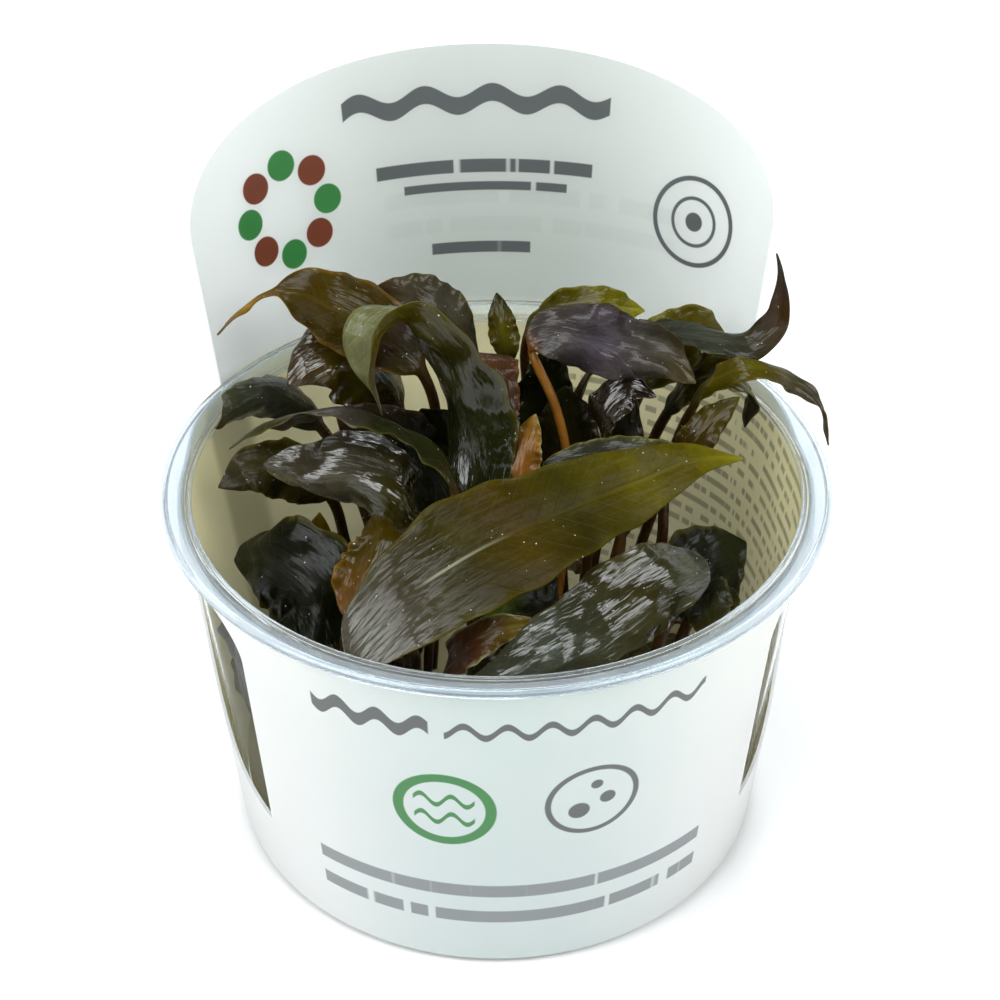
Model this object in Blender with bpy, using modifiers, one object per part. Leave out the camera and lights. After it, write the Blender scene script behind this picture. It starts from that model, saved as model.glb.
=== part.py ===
"""Cryptocoryne wendtii growing in a clear cup, open and ready to plant.

A thin clear cup holds a disc of jelly, six crowns and their leaves. A printed
sleeve wraps the cup, with a window at each side and a tall tag at the back.
The front faces -Y, +Z is up, and the origin is the middle of the cup's foot.
Lengths in this script are millimetres, which MM turns into Blender's metres.
"""
import math
from typing import NamedTuple

import bmesh
import bpy
import numpy as np

MM = 0.001

# Cup
CUP_HEIGHT = 62.5
LIP_RADIUS = 50.5
FOOT_RADIUS = 42.5       # of the outer wall, carried straight down to the foot
WALL_TAPER = 0.08        # millimetres of radius for each millimetre of height
WALL = 0.7
FLOOR = 1.0
OUTER_CORNER = 3.2
INNER_CORNER = 2.5
CUP_SEGMENTS = 40
# Section of the lip, from the wall's inside over a bead and a groove to the edge and back
# under: how far in from the lip's edge, and how far below the rim's top
LIP_SECTION = ((3.9, 2.2), (4.6, 1.6), (4.3, 0.9), (3.6, 1.2), (0.6, 0.0), (0.0, 0.3),
               (0.0, 1.3), (0.6, 1.3), (0.9, 0.8), (2.9, 1.8))

# Sleeve and tag
SLEEVE_SHEET = 0.5
SLEEVE_GAP = 0.35        # between the cup's wall and the sleeve
SLEEVE_BOTTOM = 1.2
SLEEVE_TOP = 60.3
BACK_FOOT_RADIUS = 43.3  # the back leans out past the lip
BACK_TAPER = 0.14
LEAN_STARTS = 95.0       # degrees round from the front
TAG_HALF_ANGLE = 56.6    # degrees on each side of the back
TAG_SHOULDER = 84.8      # height where the tag's dome starts
TAG_DOME = 21.2
TAG_DOME_POWER = 2.2
SLEEVE_YAW = 3.6         # the sleeve sits a little turned on the cup
SLEEVE_ROWS = 2
FRONT_COLUMNS = 41
TAG_COLUMNS = 12         # on each side of the back
TAG_EDGE = 0.8           # degrees over which the upper edge steps up to the tag

# Side windows of the sleeve, seen along X: y from front to back, and height
WINDOW_TIP = (-25.8, 15.5)
WINDOW_BACK = (-4.5, 50.0)
WINDOW_BEND = (-4.5, 20.5)
WINDOW_TOP = 56.0
WINDOW_FRONT = -28.3
WINDOW_FRONT_CORNER = 6.0
WINDOW_BACK_CORNER = 4.0
WINDOW_REACH = (30.0, 60.0)

# Jelly and crowns
GEL_GAP = 0.3
GEL_SIDE_GAP = 0.5
GEL_TOP = 9.0
GEL_SEGMENTS = 32
CROWN_RADIUS = 2.9
CROWN_HEIGHT = 8.0
CROWN_SEGMENTS = 10
# Shares of the radius and of the height, from the top down
CROWN_PROFILE = ((0.0, 1.0), (0.45, 0.95), (0.9, 0.6), (1.0, 0.25), (0.85, 0.0), (0.0, 0.0))

# Leaves
STALK_RING = 4.6         # distance of each stalk's foot from its crown's middle
STALK_FOOT = GEL_TOP + 0.6
STALK_RISE = 9.0         # how far a stalk goes nearly straight up
STALK_LEAN = 0.6         # and how far outwards over that height
STALK_HALF = 1.0
STALK_THICK = 1.7
BLADE_THICK = 0.6
TIP_HALF = 0.25
FOLD = 0.12              # how much the blade's two halves are raised, as on an open book
RUFFLE_PHASE = 1.9       # between the waves of the two edges
WIDE_LEAF = 11.5         # a wider blade gets more columns
# Route of a low leaf: shares of its reach and of its height
LOW_STALK = ((0.42, 0.72),)
LOW_BLADE = ((0.5, 0.85), (0.65, 0.98), (0.83, 1.0), (1.0, 0.88))


class Crown(NamedTuple):
    """One plantlet's root stock, and where it stands."""

    name: str
    x: float
    y: float


class Leaf(NamedTuple):
    """One leaf: its stalk, its blade's midrib and the way its blade lies."""

    name: str
    crown: str
    azimuth: float           # degrees round the crown, from +X
    stalk: tuple             # points the stalk passes on its way up
    blade: tuple             # points of the midrib, from base to tip
    width: float
    across: tuple            # direction from one edge of the blade to the other
    across_tip: tuple = ()   # the same at the tip, where the blade twists
    form: tuple = (0.6, 0.85)    # fullness towards the base and the tip
    ruffle: float = 0.7
    waves: float = 2.5
    colour: str = "olive"


CROWNS = {
    "left": Crown("crown_front_left", -17, -21),
    "middle": Crown("crown_middle", 3, -2),
    "back_left": Crown("crown_back_left", -16, 13),
    "back_right": Crown("crown_back_right", 17, 14),
    "back": Crown("crown_back", 0, 29),
    "right": Crown("crown_front_right", 16, -19),
}


def low_leaf(name, crown, azimuth, reach, height, width, colour="dark"):
    """Return a short leaf that leans straight out of its crown, face up."""
    turn = math.radians(azimuth)
    out = np.array([math.cos(turn), math.sin(turn), 0.0])
    foot = np.array([CROWNS[crown].x, CROWNS[crown].y, 0.0])

    def route(shares):
        return tuple(tuple(foot + part * reach * out + (0.0, 0.0, level * height)) for part, level in shares)

    across = (-out[1], out[0], 0.0)
    return Leaf(name, crown, azimuth, route(LOW_STALK), route(LOW_BLADE), width, across, colour=colour)


LEAVES = (
    Leaf("leaf_long_front", "left", 235, ((-23, -33, 38), (-21, -37, 50)),
         ((-20, -38, 56), (-15, -35, 62), (-4, -28, 67), (8, -20, 68), (20, -12, 68), (30, -6, 68),
          (37, -3, 66)), 17, (-0.2, 0.82, 0.5), form=(0.5, 0.95)),
    Leaf("leaf_olive_fold", "left", 120, ((-21, -18, 34), (-22, -23, 46)),
         ((-21, -24, 52), (-19, -21, 58), (-17, -15, 61), (-18, -9, 60)), 10, (0.95, -0.1, 0.1)),
    Leaf("leaf_low_left", "left", 165, ((-25, -20, 34),),
         ((-24, -20, 42), (-28, -15, 50), (-34, -9, 51), (-41, -2, 46)), 18, (0.25, 0.6, 0.75),
         colour="dark"),
    Leaf("leaf_small_front", "left", 300, ((-11, -31, 38),),
         ((-8, -34, 47), (-6, -34, 53), (0, -33, 58), (6, -32, 59)), 6, (0.1, 0.6, 0.75),
         colour="brown"),
    Leaf("leaf_wall_left", "left", 200, ((-27, -22, 20),),
         ((-33, -21, 22), (-37.5, -19, 30), (-38.8, -18, 40), (-39.6, -17, 51)), 15,
         (0.41, -0.91, 0), colour="dark"),
    Leaf("leaf_inner_front", "left", 335, ((-9, -24, 28),),
         ((-6, -25, 36), (1, -25, 42), (9, -24, 46)), 10, (-0.1, 0.7, 0.7), colour="dark"),
    Leaf("leaf_front_rim", "left", 268, ((-17, -30, 26),),
         ((-16, -33, 34), (-13, -37, 42), (-10, -38, 49)), 8, (0.9, -0.1, 0.3), colour="dark"),
    Leaf("leaf_thin_left", "left", 80, ((-20, -12, 34),),
         ((-24, -9, 42), (-27, -6, 50), (-27, -3, 56)), 5, (0.9, 0.4, 0), colour="brown"),
    Leaf("leaf_hook", "middle", 190, ((-4, -3, 36),),
         ((-3, -2, 50), (-3, 2, 64), (-6, 6, 75), (-9, 8, 81), (-14, 9, 85), (-18, 7, 84),
          (-20, 4, 78), (-18, 1, 72)), 13, (0.9, -0.35, 0.2), (0.3, -0.85, 0.35)),
    Leaf("leaf_purple", "middle", 20, ((10, 2, 36), (11, 7, 60), (8, 11, 70)),
         ((5, 14, 75), (8, 14, 77), (13, 13, 77), (20, 13, 75), (26, 14, 73), (31, 13, 69)), 12,
         (0.1, 0.5, 0.85), colour="purple"),
    Leaf("leaf_brown_arch", "middle", 118, ((1, 8, 40), (0, 18, 60)),
         ((-1, 20, 68), (-1, 18, 71), (-1, 13, 71), (0, 9, 67), (1, 8, 60)), 9, (1, 0.1, 0),
         colour="brown"),
    Leaf("leaf_orange_tip", "middle", 270, ((3, -8, 38), (4, -5, 52)),
         ((4, -1, 58), (4, 2, 63), (6, 6, 68)), 6, (1, -0.1, 0), colour="brown"),
    Leaf("leaf_grey_middle", "middle", 330, ((9, -3, 36), (8, -2, 52)),
         ((7, 2, 59), (14, 3, 61), (23, 5, 61), (31, 7, 60)), 7, (0, 0.6, 0.8), colour="dark"),
    Leaf("leaf_dark_back", "middle", 86, ((5, 11, 40),),
         ((7, 19, 52), (8, 23, 61), (8, 24, 69)), 7, (1, 0.1, 0), colour="dark"),
    Leaf("leaf_inner_middle", "middle", 55, ((7, 6, 36),),
         ((9, 11, 48), (11, 15, 58), (11, 17, 66)), 9, (1, -0.1, 0), colour="dark"),
    Leaf("leaf_inner_left", "middle", 150, ((-4, 3, 36),),
         ((-8, 5, 47), (-13, 7, 56), (-19, 9, 62), (-25, 11, 65)), 12, (0.2, 0.6, 0.7),
         colour="dark"),
    Leaf("leaf_twisted_tip", "back_left", 60, ((-11, 20, 45), (-10, 21, 60)),
         ((-12, 20, 67), (-18, 20, 74), (-26, 19, 79), (-32, 20, 80), (-36, 19, 80), (-39, 17, 78),
          (-43, 15, 75)), 12, (0.25, 0.65, 0.7), (0.2, 0.2, 0.95), (0.6, 0.9), colour="brown"),
    Leaf("leaf_brown_left", "back_left", 90, ((-15, 22, 45),),
         ((-16, 23, 58), (-20, 22, 66), (-25, 20, 70), (-30, 18, 69), (-33, 17, 66)), 13,
         (0.1, 0.55, 0.8), colour="brown"),
    Leaf("leaf_far_left", "back_left", 128, ((-23, 22, 40),),
         ((-29, 23, 54), (-33, 20, 61), (-38, 14, 65), (-43, 5, 66)), 9, (0.2, 0.55, 0.8),
         colour="dark"),
    Leaf("leaf_olive_left", "back_left", 165, ((-25, 14, 36),),
         ((-27, 12, 48), (-32, 9, 55), (-38, 5, 58), (-43, 2, 57)), 10, (0.2, 0.6, 0.75)),
    Leaf("leaf_long_arch", "back_left", 330, ((-6, -6, 40), (-6, -8, 54)),
         ((-6, -7, 62), (-8, -4, 67), (-14, 0, 69.5), (-20, 1, 72), (-27, 0, 73), (-34, -1, 71),
          (-40, -2, 67)), 7.5, (0.1, 0.85, -0.5)),
    Leaf("leaf_draped_left", "back_left", 280, ((-15, 4, 34), (-14, -2, 46)),
         ((-12, -4, 54), (-15, -5, 60), (-21, -3, 62.5), (-28, -1, 62), (-36, 4, 60)), 15,
         (0.0, 0.6, 0.75), colour="dark"),
    Leaf("leaf_back_left", "back", 145, ((-4, 31, 36), (-4, 29, 58)),
         ((-4, 28, 67), (-8, 27, 72), (-14, 27, 76), (-20, 28, 77)), 8, (0.1, 0.5, 0.85),
         colour="dark"),
    Leaf("leaf_inner_back", "back_left", 0, ((-9, 12, 36),),
         ((-8, 12, 46), (-8, 14, 55), (-12, 15, 63)), 9, (1, 0.1, 0), colour="dark"),
    Leaf("leaf_back_tip", "back", 270, ((1, 24, 36), (2, 23, 58)),
         ((2, 24, 66), (1, 26, 71), (0, 29, 76)), 5, (1, 0, 0.1)),
    Leaf("leaf_back_long", "back", 40, ((5, 31, 36), (5, 30, 58)),
         ((5, 30, 67), (11, 29, 72), (18, 28, 74), (24, 30, 72)), 8, (0, 0.5, 0.85)),
    Leaf("leaf_back_olive", "back_right", 102, ((19, 24, 40),),
         ((24, 26, 60), (28, 26, 68), (32, 26, 71), (37, 28, 69)), 11, (0, 0.5, 0.85)),
    Leaf("leaf_right_hook", "back_right", 190, ((11, 17, 45),),
         ((13, 20, 62), (18, 20, 71), (26, 20, 74), (34, 20, 73), (40, 20, 72), (44, 21, 76),
          (44, 22, 83), (43, 22, 87)), 8, (0, 0.9, -0.25), (-0.6, 0.6, 0.5), colour="dark"),
    Leaf("leaf_over_rim", "back_right", 35, ((26, 18, 40),),
         ((31, 18, 60), (33, 16, 66), (35, 12.5, 71), (38, 11, 73), (42, 12, 72), (47, 13, 69),
          (51, 11, 65), (52, 9, 60)), 4.5, (0.1, 0.6, 0.75), (-0.2, 0.9, 0.4), colour="brown"),
    Leaf("leaf_right_lobe", "back_right", 69, ((23, 22, 40),),
         ((28, 24, 56), (33, 23, 64), (37, 20, 66), (40, 18, 64), (40, 17, 58)), 8,
         (-0.3, 0.9, 0.2)),
    Leaf("leaf_right_olive", "back_right", 333, ((27, 11, 38),),
         ((28, 11, 54), (31, 11, 59), (34, 12, 63), (38, 13, 66.5)), 6, (-0.3, 0.45, 0.8)),
    Leaf("leaf_dark_curl", "back_right", 238, ((15, 9, 40),),
         ((17, 10, 56), (17, 12, 65), (21, 13, 68.5), (25, 13, 66.5)), 8, (-0.1, 0.7, 0.6),
         colour="dark"),
    Leaf("leaf_inner_right", "back_right", 271, ((19, 5, 34),),
         ((20, 7, 43), (21, 13, 52), (21, 17, 60), (21, 18, 66)), 7, (0.9, 0.1, 0), colour="dark"),
    Leaf("leaf_grey_front", "right", 200, ((8, -26, 30), (-2, -35, 42)),
         ((-5, -39, 50), (4, -38, 56), (14, -32, 58), (23, -24, 59), (31, -15, 56)), 14,
         (-0.5, 0.6, 0.6), form=(0.9, 0.55), colour="dark"),
    Leaf("leaf_small_right", "right", 357, ((26, -17, 34),),
         ((30, -12, 44), (31, -16, 50), (31, -22, 51.5), (31, -28, 50.5)), 8, (0.8, 0.45, 0.3)),
    Leaf("leaf_low_right", "right", 40, ((24, -11, 30),),
         ((27, -6, 37), (33, -1, 43), (40, 5, 44)), 13, (-0.3, 0.6, 0.7)),
    Leaf("leaf_wall_right", "right", 318, ((27, -24, 20),),
         ((32.5, -25, 23), (34.6, -25.4, 31), (35.6, -25.6, 40), (36, -25.8, 47)), 13,
         (0.55, 0.83, 0), colour="dark"),
    Leaf("leaf_inner_centre", "right", 130, ((10, -12, 34),),
         ((8, -14, 42), (4, -18, 49), (-2, -23, 53)), 12, (0.5, 0.6, 0.6), colour="dark"),
)


LOW_LEAVES = (
    low_leaf("leaf_low_1", "left", 40, 16, 27, 11),
    low_leaf("leaf_low_2", "left", 5, 15, 22, 9, "olive"),
    low_leaf("leaf_low_3", "back_left", 235, 20, 27, 12),
    low_leaf("leaf_low_4", "back_left", 198, 20, 31, 10, "olive"),
    low_leaf("leaf_low_5", "back_right", 302, 22, 25, 12),
    low_leaf("leaf_low_6", "back_right", 4, 18, 24, 10, "olive"),
    low_leaf("leaf_low_7", "right", 88, 15, 27, 10),
    low_leaf("leaf_low_8", "right", 284, 14, 25, 9, "brown"),
    low_leaf("leaf_low_9", "right", 165, 15, 29, 10),
    low_leaf("leaf_low_10", "back", 350, 18, 24, 9, "brown"),
    low_leaf("leaf_low_11", "back", 187, 24, 27, 12),
)

# Finish: base colour, roughness and how much light passes through
FINISHES = {
    "clear": ((0.90, 0.94, 0.97), 0.12, 0.9),
    "print": ((0.86, 0.87, 0.85), 0.35, 0.0),
    "jelly": ((0.80, 0.76, 0.58), 0.2, 0.6),
    "crown": ((0.20, 0.13, 0.05), 0.5, 0.0),
    "olive": ((0.075, 0.060, 0.010), 0.25, 0.0),
    "brown": ((0.085, 0.036, 0.012), 0.25, 0.0),
    "dark": ((0.020, 0.020, 0.010), 0.22, 0.0),
    "purple": ((0.060, 0.042, 0.050), 0.25, 0.0),
}


def clear_scene():
    """Remove what the file starts with."""
    for obj in list(bpy.data.objects):
        bpy.data.objects.remove(obj, do_unlink=True)


def new_collection(name):
    """Return a new collection linked to the scene."""
    collection = bpy.data.collections.new(name)
    bpy.context.scene.collection.children.link(collection)
    return collection


def finish(name):
    """Return the named material, made the first time it is asked for."""
    if name in bpy.data.materials:
        return bpy.data.materials[name]
    colour, roughness, clearness = FINISHES[name]
    material = bpy.data.materials.new(name)
    material.use_nodes = True
    shader = material.node_tree.nodes["Principled BSDF"]
    shader.inputs["Base Color"].default_value = (*colour, 1.0)
    shader.inputs["Roughness"].default_value = roughness
    shader.inputs["Metallic"].default_value = 0.0
    shader.inputs["Transmission Weight"].default_value = clearness
    return material


def add_object(name, mesh, collection, material=None):
    """Put a mesh in a collection as a named object."""
    obj = bpy.data.objects.new(name, mesh)
    collection.objects.link(obj)
    if material:
        mesh.materials.append(finish(material))
    return obj


def arc(middle, radius, start, end, steps):
    """Return points along an arc, from one angle in degrees to another."""
    angles = np.radians(np.linspace(start, end, steps + 1))
    return [(middle[0] + radius * math.cos(a), middle[1] + radius * math.sin(a)) for a in angles]


def turned(name, profile, segments, collection, material):
    """Turn a profile of (radius, height) points about Z."""
    mesh = bpy.data.meshes.new(name)
    edges = [(i, i + 1) for i in range(len(profile) - 1)]
    mesh.from_pydata([(r * MM, 0.0, z * MM) for r, z in profile], edges, [])
    obj = add_object(name, mesh, collection, material)
    screw = obj.modifiers.new("Turn", "SCREW")
    screw.axis = "Z"
    screw.steps = segments
    screw.render_steps = segments
    screw.use_merge_vertices = True
    screw.merge_threshold = 0.00001
    screw.use_smooth_shade = True
    return obj


def wall_radius(height):
    """Return the radius of the cup's outer wall at a height."""
    return FOOT_RADIUS + WALL_TAPER * height


def build_cup(collection):
    """The clear cup: floor, wall and a lip with a bead inside and a short skirt."""
    inner_floor = FLOOR + INNER_CORNER
    inner_middle = (wall_radius(inner_floor) - WALL - INNER_CORNER, inner_floor)
    outer_middle = (wall_radius(OUTER_CORNER) - OUTER_CORNER, OUTER_CORNER)
    skirt = CUP_HEIGHT - max(below for _, below in LIP_SECTION)
    profile = [(0.0, FLOOR)]
    profile += arc(inner_middle, INNER_CORNER, -90, 0, 2)
    profile += [(LIP_RADIUS - inwards, CUP_HEIGHT - below) for inwards, below in LIP_SECTION]
    profile += [(wall_radius(skirt), skirt)]
    profile += arc(outer_middle, OUTER_CORNER, 0, -90, 3)
    profile += [(0.0, 0.0)]
    return turned("cup", profile, CUP_SEGMENTS, collection, "clear")


def sleeve_radius(angle, height):
    """Return the sleeve's middle radius, at an angle from the front."""
    front = wall_radius(height) + SLEEVE_GAP + SLEEVE_SHEET / 2
    back = BACK_FOOT_RADIUS + BACK_TAPER * height
    t = (abs(angle) - LEAN_STARTS) / (180.0 - TAG_HALF_ANGLE - LEAN_STARTS)
    t = min(max(t, 0.0), 1.0)
    return front + (back - front) * t * t * (3 - 2 * t)


def sleeve_top(angle):
    """Return the height of the sleeve's upper edge, at an angle from the front."""
    from_back = (180.0 - abs(angle)) / TAG_HALF_ANGLE
    if from_back > 1.0:
        return SLEEVE_TOP
    dome = (1.0 - from_back ** TAG_DOME_POWER) ** (1.0 / TAG_DOME_POWER)
    return TAG_SHOULDER + TAG_DOME * dome


def sleeve_columns():
    """Return the angles of the sleeve's columns, close together at the tag's edges."""
    edge = 180.0 - TAG_HALF_ANGLE
    tag = 180.0 - TAG_HALF_ANGLE * np.sin(np.radians(np.linspace(90, 0, TAG_COLUMNS)))
    front = np.linspace(-edge + TAG_EDGE, edge - TAG_EDGE, FRONT_COLUMNS)
    return np.concatenate([-tag[::-1], front, tag])


def window_cutter(name, side, collection):
    """A prism along X that cuts one side window."""
    tip, bend, back = (np.array(p) for p in (WINDOW_TIP, WINDOW_BEND, WINDOW_BACK))
    outline = [tuple((1 - t) ** 2 * tip + 2 * t * (1 - t) * bend + t * t * back)
               for t in np.linspace(0, 1, 7)]
    top_back = (WINDOW_BACK[0] - WINDOW_BACK_CORNER, WINDOW_TOP - WINDOW_BACK_CORNER)
    top_front = (WINDOW_FRONT + WINDOW_FRONT_CORNER, WINDOW_TOP - WINDOW_FRONT_CORNER)
    outline += arc(top_back, WINDOW_BACK_CORNER, 0, 90, 3)
    outline += arc(top_front, WINDOW_FRONT_CORNER, 90, 180, 4)
    near, far = (side * reach * MM for reach in WINDOW_REACH)
    shape = bmesh.new()
    face = shape.faces.new([shape.verts.new((near, y * MM, z * MM)) for y, z in outline])
    grown = bmesh.ops.extrude_face_region(shape, geom=[face])["geom"]
    moved = [g for g in grown if isinstance(g, bmesh.types.BMVert)]
    bmesh.ops.translate(shape, vec=(far - near, 0, 0), verts=moved)
    bmesh.ops.recalc_face_normals(shape, faces=shape.faces)
    mesh = bpy.data.meshes.new(name)
    shape.to_mesh(mesh)
    shape.free()
    cutter = add_object(name, mesh, collection)
    cutter.rotation_euler.z = math.radians(SLEEVE_YAW)
    cutter.hide_render = True
    cutter.display_type = "WIRE"
    return cutter


def build_sleeve(collection, cutters):
    """The printed sleeve: a flat grid wrapped round the cup, thickened and cut."""
    angles = sleeve_columns()
    columns = len(angles) - 1
    bpy.ops.mesh.primitive_grid_add(x_subdivisions=columns, y_subdivisions=SLEEVE_ROWS, size=1.0)
    obj = bpy.context.object
    obj.name = "sleeve"
    for vertex in obj.data.vertices:
        angle = angles[round((vertex.co.x + 0.5) * columns)]
        height = SLEEVE_BOTTOM + (vertex.co.y + 0.5) * (sleeve_top(angle) - SLEEVE_BOTTOM)
        radius = sleeve_radius(angle, height)
        turn = math.radians(angle)
        vertex.co = (radius * math.sin(turn) * MM, -radius * math.cos(turn) * MM, height * MM)
    shape = bmesh.new()
    shape.from_mesh(obj.data)
    bmesh.ops.remove_doubles(shape, verts=shape.verts, dist=0.00001)
    shape.to_mesh(obj.data)
    shape.free()
    move_to(obj, collection)
    obj.data.materials.append(finish("print"))
    obj.rotation_euler.z = math.radians(SLEEVE_YAW)
    sheet = obj.modifiers.new("Sheet", "SOLIDIFY")
    sheet.thickness = SLEEVE_SHEET * MM
    sheet.offset = 0.0
    for side, name in ((-1, "window_left"), (1, "window_right")):
        cut = obj.modifiers.new(name, "BOOLEAN")
        cut.object = window_cutter(name, side, cutters)
        cut.operation = "DIFFERENCE"
        cut.solver = "EXACT"
    return obj


def move_to(obj, collection):
    """Move an object that an operator made into a collection."""
    for other in list(obj.users_collection):
        other.objects.unlink(obj)
    collection.objects.link(obj)


def build_gel(collection):
    """The disc of jelly at the bottom, which follows the cup's inside."""
    corner = FLOOR + INNER_CORNER

    def inside(height):
        return wall_radius(height) - WALL - GEL_SIDE_GAP

    profile = [
        (0.0, GEL_TOP),
        (inside(GEL_TOP), GEL_TOP),
        (inside(corner), corner + 0.4),
        (inside(corner) - 1.0, corner - 1.2),
        (inside(corner) - INNER_CORNER - 0.6, FLOOR + GEL_GAP),
        (0.0, FLOOR + GEL_GAP),
    ]
    return turned("nutrient_gel", profile, GEL_SEGMENTS, collection, "jelly")


def build_crown(crown, collection):
    """One short root stock, standing on the jelly."""
    foot = GEL_TOP + GEL_GAP
    profile = [(r * CROWN_RADIUS, foot + h * CROWN_HEIGHT) for r, h in CROWN_PROFILE]
    obj = turned(crown.name, profile, CROWN_SEGMENTS, collection, "crown")
    obj.location = (crown.x * MM, crown.y * MM, 0.0)
    return obj


def smooth_route(points, turn, before, after):
    """Sample a smooth curve through points: rows up to one of them, then on to the end."""
    knots = np.concatenate([[0.0], np.cumsum(np.linalg.norm(np.diff(points, axis=0), axis=1))])
    slopes = np.gradient(points, knots, axis=0)
    fine = np.linspace(0.0, knots[-1], 400)
    span = np.clip(np.searchsorted(knots, fine) - 1, 0, len(points) - 2)
    length = (knots[span + 1] - knots[span])[:, None]
    t = (fine - knots[span])[:, None] / length
    curve = ((2 * t**3 - 3 * t**2 + 1) * points[span] + (t**3 - 2 * t**2 + t) * length * slopes[span]
             + (3 * t**2 - 2 * t**3) * points[span + 1] + (t**3 - t**2) * length * slopes[span + 1])
    stops = np.concatenate([np.linspace(0.0, knots[turn], before + 1),
                            np.linspace(knots[turn], knots[-1], after + 1)[1:]])
    return np.stack([np.interp(stops, fine, curve[:, axis]) for axis in range(3)], axis=1)


def unit(vectors):
    """Return the vectors at length one."""
    return vectors / np.maximum(np.linalg.norm(vectors, axis=-1, keepdims=True), 1e-9)


def leaf_shape(leaf, columns):
    """Return a leaf's grid of points, rows along it, and the thickness of each row."""
    crown = CROWNS[leaf.crown]
    turn = math.radians(leaf.azimuth)
    out = np.array([math.cos(turn), math.sin(turn), 0.0])
    foot = np.array([crown.x, crown.y, STALK_FOOT]) + STALK_RING * out
    risen = foot + STALK_LEAN * out + (0, 0, STALK_RISE)
    points = np.array([foot, risen, *leaf.stalk, *leaf.blade])
    stalk_rows = len(leaf.stalk) + 1
    blade_rows = len(leaf.blade) + 2
    route = smooth_route(points, 2 + len(leaf.stalk), stalk_rows, blade_rows)

    u = np.concatenate([np.zeros(stalk_rows), np.linspace(0, 1, blade_rows + 1)])
    base, tip = leaf.form
    peak = base / (base + tip)
    outline = u**base * (1 - u)**tip / (peak**base * (1 - peak)**tip)
    least = np.where(u > 0, TIP_HALF, STALK_HALF)
    half = np.maximum(leaf.width / 2 * outline, least)

    along = unit(np.gradient(route, axis=0))
    side = np.outer(1 - u, unit(np.array(leaf.across)))
    side += np.outer(u, unit(np.array(leaf.across_tip or leaf.across)))
    side = unit(side - (side * along).sum(axis=1, keepdims=True) * along)
    normal = unit(np.cross(along, side))

    body = np.clip(u * 6, 0, 1) * np.clip((1 - u) * 5, 0, 1)
    grid = np.empty((len(u), columns + 1, 3))
    for column, t in enumerate(np.linspace(-1, 1, columns + 1)):
        phase = RUFFLE_PHASE if t > 0 else 0.0
        wave = leaf.ruffle * t * t * np.sin(2 * math.pi * leaf.waves * u + phase)
        lift = body * (FOLD * half * abs(t) + wave)
        grid[:, column] = route + side * (half * t)[:, None] + normal * lift[:, None]
    stalk = np.arange(len(u)) < stalk_rows
    return grid, np.where(stalk, STALK_THICK, BLADE_THICK)


def build_leaf(leaf, collection):
    """One leaf: a grid laid along its route, thicker in the stalk than in the blade."""
    columns = 4 if leaf.width > WIDE_LEAF else 2
    grid, thickness = leaf_shape(leaf, columns)
    rows = len(grid) - 1
    bpy.ops.mesh.primitive_grid_add(x_subdivisions=columns, y_subdivisions=rows, size=1.0)
    obj = bpy.context.object
    obj.name = leaf.name
    group = obj.vertex_groups.new(name="thickness")
    for vertex in obj.data.vertices:
        column = round((vertex.co.x + 0.5) * columns)
        row = round((vertex.co.y + 0.5) * rows)
        group.add([vertex.index], thickness[row] / STALK_THICK, "REPLACE")
        vertex.co = grid[row, column] * MM
    move_to(obj, collection)
    obj.data.materials.append(finish(leaf.colour))
    obj.data.shade_smooth()
    body = obj.modifiers.new("Body", "SOLIDIFY")
    body.thickness = STALK_THICK * MM
    body.offset = 0.0
    body.vertex_group = group.name
    return obj


def main():
    """Build every piece."""
    clear_scene()
    pieces = new_collection("Cryptocoryne wendtii in a cup")
    cutters = new_collection("Cutters")
    build_cup(pieces)
    build_sleeve(pieces, cutters)
    build_gel(pieces)
    for crown in CROWNS.values():
        build_crown(crown, pieces)
    for leaf in LEAVES + LOW_LEAVES:
        build_leaf(leaf, pieces)


main()
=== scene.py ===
"""Looks of a young Cryptocoryne wendtii growing in a clear cup.

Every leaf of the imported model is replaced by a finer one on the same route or
close to it, with a midrib, side veins, waved edges and a wet surface. The cup,
the jelly and the crowns get finer sections, and the printed sleeve gets its
windows and marks. The front faces -Y and +Z is up. Lengths here are
millimetres, which MM turns into Blender's metres.
"""
import logging
import math
from dataclasses import dataclass, field
from enum import Enum
from typing import Any, NamedTuple

import bpy
import numpy as np
from mathutils import Euler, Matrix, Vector, noise


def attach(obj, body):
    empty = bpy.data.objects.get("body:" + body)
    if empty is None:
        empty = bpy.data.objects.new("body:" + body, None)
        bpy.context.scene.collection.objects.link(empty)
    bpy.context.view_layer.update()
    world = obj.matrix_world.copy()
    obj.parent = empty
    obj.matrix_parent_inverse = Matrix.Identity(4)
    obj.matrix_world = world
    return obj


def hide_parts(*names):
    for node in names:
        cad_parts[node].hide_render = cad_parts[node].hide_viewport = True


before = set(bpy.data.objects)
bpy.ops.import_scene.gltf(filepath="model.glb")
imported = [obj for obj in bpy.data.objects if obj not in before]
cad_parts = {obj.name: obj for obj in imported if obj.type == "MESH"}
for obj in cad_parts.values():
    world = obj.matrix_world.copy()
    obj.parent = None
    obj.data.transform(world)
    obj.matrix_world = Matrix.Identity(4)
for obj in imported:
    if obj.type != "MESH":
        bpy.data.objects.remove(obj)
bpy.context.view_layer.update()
LOG = logging.getLogger("cup_plant")

MM = 0.001
BODY = "root"

Point = tuple[float, float, float]
Colour = tuple[float, float, float]


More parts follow.
